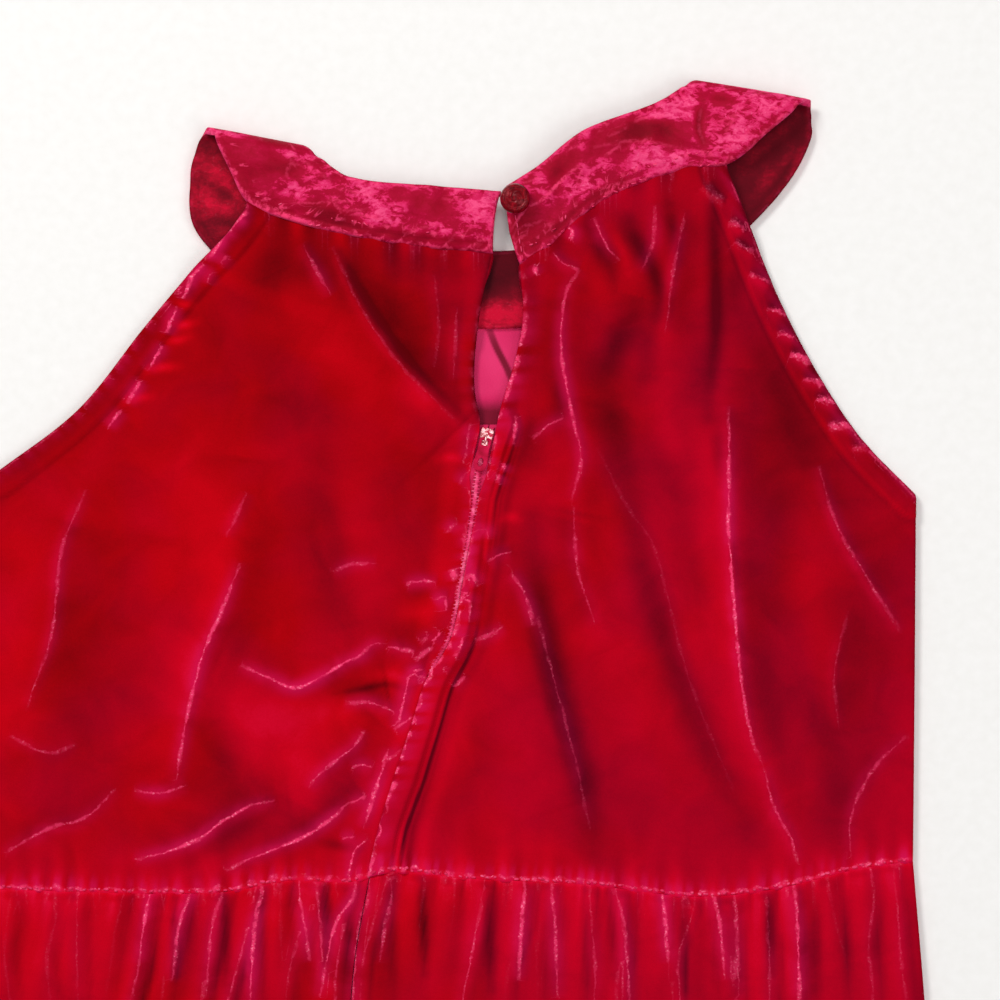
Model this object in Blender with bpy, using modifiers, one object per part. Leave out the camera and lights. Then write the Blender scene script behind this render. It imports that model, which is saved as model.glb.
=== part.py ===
"""A small child's sleeveless velvet jumpsuit, laid out flat on its front with its back up.

Lengths in the tables are millimetres, and MM turns them into Blender's metres.
X runs across the garment, Y up towards the neck and Z away from the surface it lies on.
The origin is on that surface, under the waist seam.
Each panel is an open grid between four outlines, raised where the cloth folds, with a wall under it.
"""

import math
from collections import namedtuple

import bmesh
import bpy
import numpy as np
from mathutils import Matrix, Vector

MM = 0.001

# Cloth, seams and layers
CLOTH = 1.2  # one layer of velvet with its pile
BAND = 2.4  # the neckband, velvet on both faces
SEAM = 0.35  # between two sewn pieces
AIR = 0.3  # between two layers that lie on each other
BACK_REST = CLOTH + AIR + CLOTH  # top of a back panel where it lies on the front
LIFT_OVER_BAND = BAND - CLOTH + 0.1  # and how much higher it is over the front neckband or the zip
LIFT_REACH = 7.0  # the run over which it climbs there

# Garment sizes
UNDERARM_LEFT = (-169.0, 137.0)
UNDERARM_RIGHT = (139.0, 130.0)
SIDE_WAIST_LEFT = -190.0
SIDE_WAIST_RIGHT = 138.0
CENTRE_WAIST = -43.5  # where the centre back seam crosses the waist
CROTCH = (-34.0, -195.0)
LEG_END = -465.0
HEM_LEFT_LEG = (-192.0, -60.0)  # outer and inner corner
HEM_RIGHT_LEG = (127.0, -8.0)
ARMHOLE_HEM = 8.0
HEM_RISE = 0.7  # how far the turned hem stands above the panel
FRONT_INSET = 2.5  # how far the front's armholes lie inside the back's

# Fastenings
BUTTON_AT = (5.0, 228.0)
BUTTON_RADIUS = 5.0
BUTTON_DOME = 4.2
BUTTON_EDGE = 0.8  # height of its rim
BUTTON_UNDERCUT = 0.7  # how much smaller its flat underside is
SHANK_RADIUS = 1.3
SHANK_HEIGHT = 2.2
LOOP_THICK = 1.1
LOOP_CLEAR = 0.35  # between the loop and the shank
LOOP_HALF = 0.9  # half the distance between the loop's two ends
ZIP_TAPE_WIDTH = 10.0
ZIP_TAPE_THICK = 0.8
ZIP_END = -75.0  # the zip runs on below the waist seam
SLIDER_WIDTH = 4.2
SLIDER_LENGTH = 7.0
SLIDER_AHEAD = 4.0  # how far the slider's nose stands above its eye
SLIDER_THICK = 1.6
SLIDER_BEVEL = 0.4
PULL_WIDTH = 4.4
PULL_LENGTH = 10.8
PULL_THICK = 0.7
PULL_WINDOW = (2.4, 1.75)  # width and length of the opening that the slider's eye passes through
PULL_HOLE = (1.8, 2.6, 3.0)  # width and length of the hole, and how far its middle is from the tab's end
RING_RADIUS = 1.2  # the slider's eye, which the pull tab hangs in
RING_THICK = 0.6
RING_SHARE = 0.022  # how far down the zip the eye stands
ZIP_TOP = 152.0  # where the panels' edges meet the zip

Section = namedtuple("Section", "bottom_x bottom_y bottom_z top_x top_y top_z")
# A shoulder fold's crest. The band's edges leave it in a curve, and end up this much further towards the
# neck for each millimetre away from it: the upper layer's free and neck edges, and the lower's free edge.
Crest = namedtuple("Crest", "bottom_x bottom_y bottom_z top_x top_y top_z over_bottom over_top under_bottom")
Fold = namedtuple("Fold", "height left right route")
Gather = namedtuple("Gather", "share width height length lean")

# The neckband's outer face from the button end, over the right shoulder, along the front and back.
# bottom is the edge that the bodice is sewn to, or the free edge over the shoulder. top is the neck edge.
BAND_BACK_RIGHT = (
    Section(6.6, 206.8, 5.6, 2.0, 232.8, 7.2),
    Section(16.5, 213.0, 5.6, 12.0, 239.0, 7.8),
    Section(30.9, 225.7, 5.8, 27.5, 251.0, 8.8),
    Section(47.9, 234.2, 6.4, 45.5, 257.9, 8.4),
    Section(63.0, 238.5, 7.2, 54.4, 261.7, 7.7),
    Section(75.2, 239.7, 8.6, 57.2, 263.5, 7.0),
)
BAND_SHOULDER_RIGHT = (
    Section(81.2, 243.2, 10.0, 59.0, 264.8, 6.5),
    Section(88.2, 249.6, 11.4, 60.4, 265.7, 6.2),
)
BAND_FOLD_RIGHT = Crest(103.4, 261.7, 11.6, 66.4, 268.4, 6.0, 0.95, 1.4, -0.28)
BAND_EAR_RIGHT = (
    Section(104.0, 249.6, 0.0, 71.0, 258.0, 0.0),
    Section(100.8, 241.6, 0.0, 74.5, 251.0, 0.0),
    Section(95.8, 233.6, 0.0, 73.5, 244.5, 0.0),
)
BAND_FRONT = (
    Section(82.0, 218.5, 0.0, 66.0, 236.0, 0.0),
    Section(62.0, 204.0, 0.0, 50.0, 225.5, 0.0),
    Section(34.0, 191.0, 0.0, 27.0, 215.8, 0.0),
    Section(0.0, 185.5, 0.0, 0.0, 211.5, 0.0),
    Section(-34.0, 188.6, 0.0, -30.0, 213.8, 0.0),
    Section(-66.0, 197.5, 0.0, -56.0, 220.0, 0.0),
    Section(-93.0, 208.9, 0.0, -73.0, 226.0, 0.0),
)
BAND_EAR_LEFT = (
    Section(-102.2, 219.5, 0.0, -78.5, 231.0, 0.0),
    Section(-103.6, 229.6, 0.0, -79.0, 235.0, 0.0),
    Section(-103.0, 239.0, 0.0, -74.0, 239.0, 0.0),
)
BAND_FOLD_LEFT = Crest(-97.3, 252.6, 10.0, -66.6, 247.0, 6.0, 0.85, 2.0, -0.5)
BAND_SHOULDER_LEFT = (Section(-89.2, 236.8, 9.2, -58.6, 241.4, 6.8),)
BAND_BACK_LEFT = (
    Section(-84.0, 227.2, 7.4, -56.0, 239.2, 7.4),
    Section(-70.0, 221.2, 6.4, -51.6, 236.4, 8.4),
    Section(-52.0, 216.8, 5.8, -43.5, 234.4, 8.8),
    Section(-28.0, 212.7, 5.6, -23.0, 232.8, 8.8),
    Section(-2.4, 210.4, 5.6, 0.3, 231.0, 8.0),
)
BAND_END_BOW = 1.6  # how far the button end's cut edge bows out
BAND_BOW_REACH = 9.0  # and how far along the band that is felt
BAND_CROWN = 1.4  # how far the band's middle stands proud of the line between its edges
BAND_STEP = 7.0  # between the stations that its faces run between
BAND_RAISED = (3.0, 6.0)  # its outer face is crowned above these heights, and lies flat below them
FOLD_STEPS = 6
NECK_SLOPE = 24.0  # how far below the neck seam the back panels start to rise to it

# Outlines, from the neck down
ARMHOLE_LEFT = (
    (-84.2, 226.2), (-91.0, 217.0), (-101.7, 206.3), (-118.9, 186.0), (-141.0, 158.5), UNDERARM_LEFT,
)
ARMHOLE_RIGHT = (
    (75.2, 239.4), (82.7, 221.5), (93.7, 194.5), (107.3, 168.7), (121.0, 148.5), UNDERARM_RIGHT,
)
OPENING_LEFT = ((-2.7, 210.0), (-6.2, 193.8), (-8.6, 172.0), (-8.2, 163.0), (-6.6, 156.0))
OPENING_RIGHT = ((6.8, 206.4), (7.6, 190.0), (5.0, 175.0), (1.0, 162.0), (-0.6, 156.0))
ZIP_LINE = (
    (-3.6, 153.5), (-7.0, 138.5), (-9.5, 121.0), (-13.2, 99.5), (-16.8, 82.5), (-23.9, 69.0),
    (-28.9, 53.5), (-33.4, 40.0), (-39.8, 19.0), (-44.5, -2.0), (-49.0, -30.0), (-50.0, ZIP_END),
)
ZIP_GAPS = ((153.5, 5.4), (136.0, 5.4), (127.0, 1.2), (90.0, 0.9), (ZIP_END, 0.6))  # y and width
WAIST_LINE = (
    (SIDE_WAIST_LEFT, -1.0), (-93.0, -2.5), (-71.0, 1.3), (-50.0, 1.0), (-38.0, 4.5), (-13.0, 2.2),
    (29.0, 0.0), (66.0, -4.0), (93.0, -1.2), (119.0, 5.1), (SIDE_WAIST_RIGHT, 8.0),
)
CENTRE_SEAM = ((-49.0, -30.0), (-50.0, ZIP_END), (-43.0, -140.0), CROTCH)
SIDE_LEFT_LEG = ((-200.0, -70.0), (-206.0, -150.0), (-205.0, -220.0), (-199.0, -340.0))
SIDE_RIGHT_LEG = ((143.0, -60.0), (144.0, -140.0), (141.0, -220.0), (134.0, -340.0))
INSEAM_LEFT_LEG = ((-42.0, -250.0), (-50.0, -340.0))
INSEAM_RIGHT_LEG = ((-26.0, -250.0), (-18.0, -340.0))

# The bodice's largest folds: a crest is raised by height, a trough has a height below 0, and left and
# right are how far it spreads on each side of its route, seen along the route.
FOLDS_LEFT = (
    Fold(6.5, 8.0, 26.0, ((-56.0, 213.0), (-46.0, 192.0), (-34.0, 174.5), (-13.0, 153.0))),
    Fold(5.4, 10.0, 12.0, ((-84.0, 142.0), (-87.5, 112.0), (-99.0, 77.0), (-106.3, 45.0), (-109.0, 26.0))),
    Fold(4.6, 7.0, 14.0, ((-92.0, 76.0), (-68.0, 66.0), (-53.3, 72.3), (-40.0, 80.7), (-24.0, 76.0))),
    Fold(3.0, 9.0, 7.0, ((-140.0, 4.0), (-100.0, 15.7), (-83.3, 25.7), (-70.0, 28.0))),
    Fold(3.0, 8.0, 7.0, ((-98.0, 4.0), (-76.7, 11.7), (-63.3, 17.3), (-46.0, 31.0))),
    Fold(2.6, 8.0, 7.0, ((-66.0, 27.0), (-58.3, 41.0), (-51.7, 46.0), (-42.0, 56.0))),
    Fold(-2.6, 10.0, 10.0, ((-62.0, 150.0), (-57.0, 115.0), (-50.0, 86.0))),
    Fold(3.0, 14.0, 14.0, ((-140.0, 120.0), (-148.0, 70.0), (-152.0, 20.0))),
)
FOLDS_RIGHT = (
    Fold(4.6, 8.0, 9.0, ((29.0, 214.0), (20.5, 186.0), (24.0, 156.7), (27.0, 141.0), (23.0, 122.0))),
    Fold(3.4, 8.0, 9.0, ((27.0, 124.0), (25.0, 110.0), (28.3, 96.7), (36.0, 78.0))),
    Fold(4.8, 8.0, 16.0, ((-1.0, 112.0), (6.0, 92.0), (9.5, 76.0), (14.5, 58.0), (24.0, 26.0))),
    Fold(4.0, 10.0, 9.0, ((38.0, 158.0), (50.0, 128.0), (60.0, 98.0), (72.0, 66.0), (92.0, 24.0))),
    Fold(4.8, 11.0, 7.0, ((76.0, 172.0), (75.7, 135.0), (76.7, 103.0), (80.7, 65.0), (92.0, 30.0))),
    Fold(3.6, 6.0, 7.0, ((49.0, 236.0), (51.7, 218.0), (47.0, 196.0))),
    Fold(3.0, 6.0, 6.0, ((31.0, 226.0), (36.7, 210.0), (41.0, 186.0))),
    Fold(2.8, 6.0, 8.0, ((63.0, 240.0), (57.3, 201.7), (55.0, 170.0))),
    Fold(2.6, 14.0, 12.0, ((112.0, 128.0), (116.0, 80.0), (112.0, 22.0))),
)
# y and width of the smooth strip beside the zip
PLACKET_WIDTH = (
    (156.0, 9.6), (139.0, 8.0), (128.0, 6.2), (100.0, 6.6), (75.0, 7.4), (50.0, 8.0), (35.0, 8.4),
    (18.0, 7.4), (5.0, 8.4), (-10.0, 8.6),
)
PLACKET_RISE = 1.5
PLACKET_GROOVE = 2.2
PLACKET_END = (150.0, 162.0)  # it fades out between these heights
OPENING_START = (150.0, 160.0)  # and the opening's edges curl up from here
ZIP_CROWDING = 1.45  # how much closer the columns of the back panels are near the zip
PUFF_LEFT = 2.6  # how much air lies under the middle of each back panel
PUFF_RIGHT = 3.4
OPENING_CURL = 1.3  # the cut edges of the back opening turn up a little
CURL_REACH = 6.0
TAB_CLEAR = 7.0  # the cloth lies low within this distance of the pull tab

# Gathers, as shares of each trouser panel's waist, with the slope of their lean as they go down
GATHERS_LEFT = 13
GATHERS_RIGHT = 16
GATHER_HEIGHT = 2.6
GATHER_LENGTH = 62.0
LEG_PUFF = 1.6
LEG_FOLDS_LEFT = (
    Fold(3.0, 12.0, 16.0, ((-150.0, -30.0), (-156.0, -180.0), (-146.0, -420.0))),
    Fold(2.6, 14.0, 10.0, ((-96.0, -40.0), (-100.0, -160.0), (-112.0, -330.0))),
)
LEG_FOLDS_RIGHT = (
    Fold(3.0, 14.0, 12.0, ((92.0, -34.0), (98.0, -170.0), (86.0, -420.0))),
    Fold(2.6, 10.0, 14.0, ((24.0, -40.0), (32.0, -170.0), (40.0, -330.0))),
)


def blend(t, start, end, a, b):
    return ((end - t) * a + (t - start) * b) / (end - start)


def flatten(points, per_span=12):
    """A dense line through the points on a centripetal Catmull-Rom curve."""
    p = np.asarray(points, float)
    p = np.vstack([2 * p[0] - p[1], p, 2 * p[-1] - p[-2]])
    knots = np.concatenate([[0], np.cumsum(np.linalg.norm(np.diff(p, axis=0), axis=1) ** 0.5)])
    spans = []
    for k in range(len(p) - 3):
        a, b, c, d = p[k : k + 4]
        t0, t1, t2, t3 = knots[k : k + 4]
        t = np.linspace(t1, t2, per_span, endpoint=False)[:, None]
        ab, bc, cd = blend(t, t0, t1, a, b), blend(t, t1, t2, b, c), blend(t, t2, t3, c, d)
        spans.append(blend(t, t1, t2, blend(t, t0, t2, ab, bc), blend(t, t1, t3, bc, cd)))
    return np.vstack([*spans, p[-2]])


def along(line, shares, by_height=False):
    """Points at shares of a dense line's length, or of its height."""
    steps = np.diff(line, axis=0)
    sizes = np.abs(steps[:, 1]) if by_height else np.linalg.norm(steps, axis=1)
    reach = np.concatenate([[0], np.cumsum(sizes)])
    wanted = np.asarray(shares) * reach[-1]
    return np.stack([np.interp(wanted, reach, line[:, k]) for k in range(line.shape[1])], -1)


def smoothstep(low, high, value):
    t = np.clip((value - low) / (high - low), 0, 1)
    return t * t * (3 - 2 * t)


def measure(route, x, y):
    """How far points lie from a dense line, above 0 on its left, and their share of its length."""
    line = np.asarray(route, float)
    ends = np.diff(line, axis=0)
    sizes = np.linalg.norm(ends, axis=1)
    before = np.concatenate([[0], np.cumsum(sizes)])
    gaps_x = np.ravel(x)[:, None] - line[None, :-1, 0]
    gaps_y = np.ravel(y)[:, None] - line[None, :-1, 1]
    t = np.clip((gaps_x * ends[:, 0] + gaps_y * ends[:, 1]) / sizes**2, 0, 1)
    far = np.hypot(gaps_x - t * ends[:, 0], gaps_y - t * ends[:, 1])
    best = far.argmin(axis=1)
    rows = np.arange(len(best))
    side = np.sign(ends[best, 0] * gaps_y[rows, best] - ends[best, 1] * gaps_x[rows, best])
    share = (before[best] + t[rows, best] * sizes[best]) / before[-1]
    return (far[rows, best] * side).reshape(np.shape(x)), share.reshape(np.shape(x))


def fold_relief(folds, x, y):
    total = np.zeros(np.shape(x))
    for fold in folds:
        away, share = measure(flatten(fold.route, 6), x, y)
        width = np.where(away > 0, fold.left, fold.right)
        taper = np.sin(math.pi * share) ** 0.6
        total += fold.height * taper * np.exp(-((away / width) ** 2))
    return total


def waist_height(x):
    line = flatten(WAIST_LINE)
    return np.interp(x, line[:, 0], line[:, 1])


def zip_curve():
    return flatten(ZIP_LINE)


def band_fold(fold, turn):
    """Sections round a shoulder fold, whose crest is the table's row. turn is 1 towards the front or -1."""
    bottom = np.array([fold.bottom_x, fold.bottom_y])
    top = np.array([fold.top_x, fold.top_y])
    line = (top - bottom) / np.linalg.norm(top - bottom)
    outward = np.array([-line[1], line[0]]) * (1 if line[0] > 0 else -1)
    found = []
    for angle in np.linspace(math.pi / 2, -math.pi / 2, FOLD_STEPS + 1) * turn:
        inset, height = (1 - math.cos(angle)) / 2, (1 + math.sin(angle)) / 2
        run = math.sqrt(inset / 2)
        lean_bottom, lean_top = (fold.over_bottom, fold.over_top) if angle > 0 else (fold.under_bottom, 0.0)
        low = bottom + (lean_bottom * run * line - inset * outward) * fold.bottom_z
        high = top + (lean_top * run * line - inset * outward) * fold.top_z
        found.append(Section(*low, fold.bottom_z * height, *high, fold.top_z * height))
    return found


def band_parts():
    """The neckband's sections in order, a list for each stretch of it."""
    return [
        BAND_BACK_RIGHT, BAND_SHOULDER_RIGHT, band_fold(BAND_FOLD_RIGHT, 1), BAND_EAR_RIGHT, BAND_FRONT,
        BAND_EAR_LEFT, band_fold(BAND_FOLD_LEFT, -1), BAND_SHOULDER_LEFT, BAND_BACK_LEFT,
    ]


def band_edges(per_span):
    """The neckband's seam edge and neck edge as dense lines, from the button end to the loop end."""
    sections = np.array([row for part in band_parts() for row in part])
    return flatten(sections[:, :3], per_span), flatten(sections[:, 3:], per_span)


def end_bow(points, v):
    """How far each of the band's points moves across, so that the button end's cut edge is bowed."""
    first = BAND_BACK_RIGHT[0]
    end_y = blend(v, 0, 1, first.bottom_y, first.top_y)
    from_end = np.hypot(points[..., 0] - first.bottom_x, points[..., 1] - end_y)
    raised = smoothstep(*BAND_RAISED, points[..., 2])
    return BAND_END_BOW * raised * 4 * v * (1 - v) * np.exp(-((from_end / BAND_BOW_REACH) ** 2))


def band_seam(part, per_span=12):
    """The seam edge along one of the band's tables, in the band's own order."""
    parts = band_parts()
    start = sum(len(rows) for rows in parts[: parts.index(part)])
    return band_edges(per_span)[0][start * per_span : (start + len(part) - 1) * per_span + 1]


def seam_below(part):
    """The neck seam along one of the band's tables, moved down by the gap that sewn pieces keep."""
    return band_seam(part)[:, :2] - [0.0, SEAM]


def front_neck(x):
    line = band_seam(BAND_FRONT)[::-1]
    return np.interp(x, line[:, 0], line[:, 1])


def zip_side(side, top, bottom):
    """One edge of the closed zip between two heights: side is -1 for the left back and 1 for the right."""
    line = zip_curve()
    line = line[(line[:, 1] <= top) & (line[:, 1] >= bottom)]
    heights, widths = np.array(ZIP_GAPS)[::-1].T
    half = np.interp(line[:, 1], heights, widths) / 2
    return line + np.stack([side * half, np.zeros(len(line))], -1)


def zip_at_waist(side):
    line = zip_side(side, 40.0, -40.0)
    crossing = np.argmin(np.abs(line[:, 1] - waist_height(line[:, 0])))
    return float(line[crossing, 0])


def back_edge(side):
    """The centre edge of a back panel from the neck to the waist, where its last point is on the seam."""
    opening = OPENING_LEFT if side < 0 else OPENING_RIGHT
    start = seam_below(BAND_BACK_RIGHT)[0] if side > 0 else seam_below(BAND_BACK_LEFT)[-1]
    x = zip_at_waist(side)
    foot = np.array([x, waist_height(x) + SEAM / 2])
    closed = zip_side(side, ZIP_TOP, foot[1] + 3.0)
    return np.vstack([flatten([start, *opening[1:]]), closed, foot])


def waist_edge(left, right, offset):
    x = np.linspace(left, right, 60)
    return np.stack([x, waist_height(x) + offset], -1)


def front_waist(x):
    """The front's waist seam is straight from side to side, and hidden."""
    ends = [waist_height(SIDE_WAIST_LEFT), waist_height(SIDE_WAIST_RIGHT)]
    return np.interp(x, [SIDE_WAIST_LEFT, SIDE_WAIST_RIGHT], ends)


def side_edge(armhole, waist_x):
    """Armhole and side seam, from the neck corner to the waist."""
    foot = (waist_x, float(waist_height(waist_x)) + SEAM / 2)
    side = flatten([armhole[-1], (0.4 * armhole[-1][0] + 0.6 * waist_x, 50.0), foot])
    return np.vstack([flatten(armhole)[:-1], side])


def coons(u, v, lines, by_height):
    """Points at shares u across and v up between four dense lines that meet at their ends."""
    bottom, top = lines["bottom"], lines["top"]
    low, high = along(bottom, u), along(top, u)
    west, east = along(lines["left"], v, by_height), along(lines["right"], v, by_height)
    u, v = u[:, None], v[:, None]
    corners = (1 - u) * ((1 - v) * bottom[0] + v * top[0]) + u * ((1 - v) * bottom[-1] + v * top[-1])
    return (1 - v) * low + v * high + (1 - u) * west + u * east - corners


def lift_over(x, y):
    """How much higher the back lies where the front neckband or the zip tape is under it."""
    neck = smoothstep(front_neck(x) - LIFT_REACH - 2, front_neck(x) - 2, y)
    from_zip = np.abs(measure(zip_curve(), x, y)[0])
    tape = 1 - smoothstep(ZIP_TAPE_WIDTH / 2 + 1, ZIP_TAPE_WIDTH / 2 + 1 + LIFT_REACH, from_zip)
    return LIFT_OVER_BAND * np.maximum(neck, tape)


def beside_tab(x, y):
    """0 at the pull tab and 1 away from it."""
    from_zip, share = measure(zip_curve(), x, y)
    down = smoothstep(0.13, 0.2, share)
    return np.maximum(smoothstep(2.0, TAB_CLEAR + 2.0, np.abs(from_zip)), down)


def placket_relief(x, y):
    """The smooth strip on the right of the zip, and the groove along its far side."""
    from_zip = np.abs(measure(zip_curve(), x, y)[0])
    heights, widths = np.array(PLACKET_WIDTH)[::-1].T
    width = np.interp(y, heights, widths)
    on_strip = 1 - smoothstep(width - 2.5, width - 0.5, from_zip)
    groove = np.exp(-(((from_zip - width - 1.0) / 2.2) ** 2))
    return (PLACKET_RISE * on_strip - PLACKET_GROOVE * groove) * (1 - smoothstep(*PLACKET_END, y))


def bodice_height(folds, puff, opening, outside, seam):
    """The top face of a back bodice panel as a function of x, y and the shares u, v."""
    seam = seam[np.argsort(seam[:, 0])]

    def height(x, y, u, v):
        swell = puff * np.sin(math.pi * u) ** 0.7 * np.sin(math.pi * v) ** 0.7
        relief = swell + fold_relief(folds, x, y) * smoothstep(0, 0.06, v)
        if folds is FOLDS_RIGHT:
            relief += placket_relief(x, y)
        from_opening = np.abs(measure(flatten(opening), x, y)[0])
        above_zip = smoothstep(*OPENING_START, y)
        relief += OPENING_CURL * above_zip * (1 - smoothstep(0, CURL_REACH, from_opening))
        from_armhole = np.abs(measure(flatten(outside), x, y)[0])
        relief += HEM_RISE * (1 - smoothstep(ARMHOLE_HEM - 1, ARMHOLE_HEM + 1, from_armhole))
        lying = BACK_REST + lift_over(x, y) + np.maximum(relief, 0) * beside_tab(x, y)
        sewn = np.interp(x, seam[:, 0], seam[:, 2]) - (BAND - CLOTH) / 2
        near = 1 - smoothstep(0, NECK_SLOPE, np.interp(x, seam[:, 0], seam[:, 1]) - y)
        return lying + (sewn - lying) * near

    return height


def gathers(count, seed):
    """Evenly spaced gathers moved a little off their places, the same ones each time."""
    chance = np.random.default_rng(seed)
    found = []
    for k in range(count):
        share = (k + 0.5 + chance.uniform(-0.16, 0.16)) / count
        found.append(Gather(
            share, chance.uniform(0.26, 0.36) / count, GATHER_HEIGHT * chance.uniform(0.75, 1.25),
            GATHER_LENGTH * chance.uniform(0.6, 1.8), chance.uniform(-0.02, 0.02),
        ))
    return found


def leg_height(folds, count, seed):
    rows = gathers(count, seed)

    def height(x, y, u, v):
        down = np.maximum(waist_height(np.clip(x, SIDE_WAIST_LEFT, SIDE_WAIST_RIGHT)) - y, 0)
        relief = LEG_PUFF * np.sin(math.pi * u) ** 0.7 * np.sin(math.pi * v) ** 0.5
        for row in rows:
            spread = row.width * (1 + down / row.length)
            middle = row.share + row.lean * down / row.length
            fade = np.exp(-((down / row.length) ** 1.5))
            relief += row.height * fade * np.exp(-(((u - middle) / spread) ** 2))
        relief += fold_relief(folds, x, y)
        return BACK_REST + lift_over(x, y) * smoothstep(ZIP_END - 20, ZIP_END, y) + np.maximum(relief, 0)

    return height


def clear_scene():
    for obj in list(bpy.data.objects):
        bpy.data.objects.remove(obj, do_unlink=True)
    for collection in list(bpy.data.collections):
        bpy.data.collections.remove(collection)


def make_collection(name):
    made = bpy.data.collections.new(name)
    bpy.context.scene.collection.children.link(made)
    return made


def material(name, color, roughness, metallic=0.0):
    made = bpy.data.materials.new(name)
    made.use_nodes = True
    shader = made.node_tree.nodes["Principled BSDF"]
    shader.inputs["Base Color"].default_value = (*color, 1.0)
    shader.inputs["Roughness"].default_value = roughness
    shader.inputs["Metallic"].default_value = metallic
    return made


def grid_object(name, columns, rows, place, finish, collection):
    """An open grid whose vertices are put at place(u, v), in millimetres."""
    mesh = bpy.data.meshes.new(name)
    bm = bmesh.new()
    bmesh.ops.create_grid(bm, x_segments=columns, y_segments=rows, size=0.5)
    shares = np.array([vertex.co[:2] for vertex in bm.verts]) + 0.5
    points = place(shares[:, 0], shares[:, 1]) * MM
    for vertex, point in zip(bm.verts, points):
        vertex.co = point
    bm.to_mesh(mesh)
    bm.free()
    mesh.materials.append(finish)
    mesh.shade_smooth()
    obj = bpy.data.objects.new(name, mesh)
    collection.objects.link(obj)
    return obj


def add_wall(obj, thickness, offset):
    wall = obj.modifiers.new("Wall", "SOLIDIFY")
    wall.thickness = thickness * MM
    wall.offset = offset
    return wall


def crowd(shares, power):
    """Shares moved closer together: near 1 for a power above 1, and near 0 for one below -1."""
    shares = np.clip(shares, 0, 1)
    return shares**-power if power < 0 else 1 - (1 - shares) ** power


def panel(name, outlines, columns, rows, height, finish, collection, across=1.0, up=1.0):
    """A cloth panel between outlines, a dict of bottom, top, left and right. height is None on the surface.

    across and up are the powers that crowd its columns and rows. Crowded rows are spaced by height.
    """

    def place(u, v):
        u, v = crowd(u, across), crowd(v, up)
        flat = coons(u, v, outlines, up != 1.0)
        z = np.zeros(len(flat)) if height is None else height(flat[:, 0], flat[:, 1], u, v)
        return np.column_stack([flat, z])

    obj = grid_object(name, columns, rows, place, finish, collection)
    add_wall(obj, CLOTH, 1.0 if height is None else -1.0)
    return obj


def back_outlines(side):
    """Outlines of a back bodice panel. side is -1 for the left back, 1 for the right."""
    centre = back_edge(side)
    if side < 0:
        outer = side_edge(ARMHOLE_LEFT, SIDE_WAIST_LEFT)
        top = seam_below(BAND_BACK_LEFT)
        outer[0] = top[0]
        bottom = waist_edge(SIDE_WAIST_LEFT, centre[-1, 0], SEAM / 2)
        return {"bottom": bottom, "top": top, "left": outer[::-1], "right": centre[::-1]}
    outer = side_edge(ARMHOLE_RIGHT, SIDE_WAIST_RIGHT)
    top = seam_below(BAND_BACK_RIGHT)
    outer[0] = top[-1]
    bottom = waist_edge(centre[-1, 0], SIDE_WAIST_RIGHT, SEAM / 2)
    return {"bottom": bottom, "top": top, "left": centre[::-1], "right": outer[::-1]}


def front_bodice_outlines():
    """The front bodice lies inside the back's outline, so that its armholes don't show past it."""
    top = seam_below(BAND_FRONT)[::-1]
    left_arm = [top[0], *(np.array(ARMHOLE_LEFT[3:]) + [FRONT_INSET, -FRONT_INSET])]
    right_arm = [top[-1], *(np.array(ARMHOLE_RIGHT[2:]) - [FRONT_INSET, FRONT_INSET])]
    left = side_edge(left_arm, SIDE_WAIST_LEFT + 1)
    right = side_edge(right_arm, SIDE_WAIST_RIGHT - 1)
    left[-1, 1] = front_waist(left[-1, 0]) + SEAM / 2
    right[-1, 1] = front_waist(right[-1, 0]) + SEAM / 2
    return {"bottom": np.array([left[-1], right[-1]]), "top": top, "left": left[::-1], "right": right[::-1]}


def leg_outlines(side, waist, inset=0.0):
    """Outlines of a trouser panel under a waist line, a function of x. side is -1 for the left leg.

    inset draws a front panel in from the back's outline.
    """
    hem = HEM_LEFT_LEG if side < 0 else HEM_RIGHT_LEG
    outer_x = (SIDE_WAIST_LEFT if side < 0 else SIDE_WAIST_RIGHT) - side * inset
    inner_x = CENTRE_WAIST + side * SEAM / 2
    outer_points = SIDE_LEFT_LEG if side < 0 else SIDE_RIGHT_LEG
    inseam = INSEAM_LEFT_LEG if side < 0 else INSEAM_RIGHT_LEG
    gap = np.array([side * SEAM / 2, 0.0])
    outer_top = (outer_x, float(waist(outer_x)) - SEAM / 2)
    outer = flatten([outer_top, *(np.array([*outer_points, (hem[0], LEG_END)]) - [side * inset, 0])])
    inner_top = (inner_x, float(waist(inner_x)) - SEAM / 2)
    middle = [np.array(point) + gap for point in CENTRE_SEAM]
    inner = np.vstack([flatten([inner_top, *middle])[:-1], flatten([middle[-1], *inseam, (hem[1], LEG_END)])])
    x = np.linspace(min(outer_x, inner_x), max(outer_x, inner_x), 60)
    top = np.stack([x, waist(x) - SEAM / 2], -1)
    low = np.array([outer[-1], inner[-1]])
    if side < 0:
        return {"bottom": low, "top": top, "left": outer[::-1], "right": inner[::-1]}
    return {"bottom": low[::-1], "top": top, "left": inner[::-1], "right": outer[::-1]}


def make_bodice(finish, collection):
    left = bodice_height(FOLDS_LEFT, PUFF_LEFT, OPENING_LEFT, ARMHOLE_LEFT, band_seam(BAND_BACK_LEFT))
    panel("back_left", back_outlines(-1), 28, 27, left, finish, collection, across=ZIP_CROWDING)
    right = bodice_height(FOLDS_RIGHT, PUFF_RIGHT, OPENING_RIGHT, ARMHOLE_RIGHT, band_seam(BAND_BACK_RIGHT))
    panel("back_right", back_outlines(1), 33, 27, right, finish, collection, across=-ZIP_CROWDING)
    panel("front_bodice", front_bodice_outlines(), 20, 6, None, finish, collection)


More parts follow.
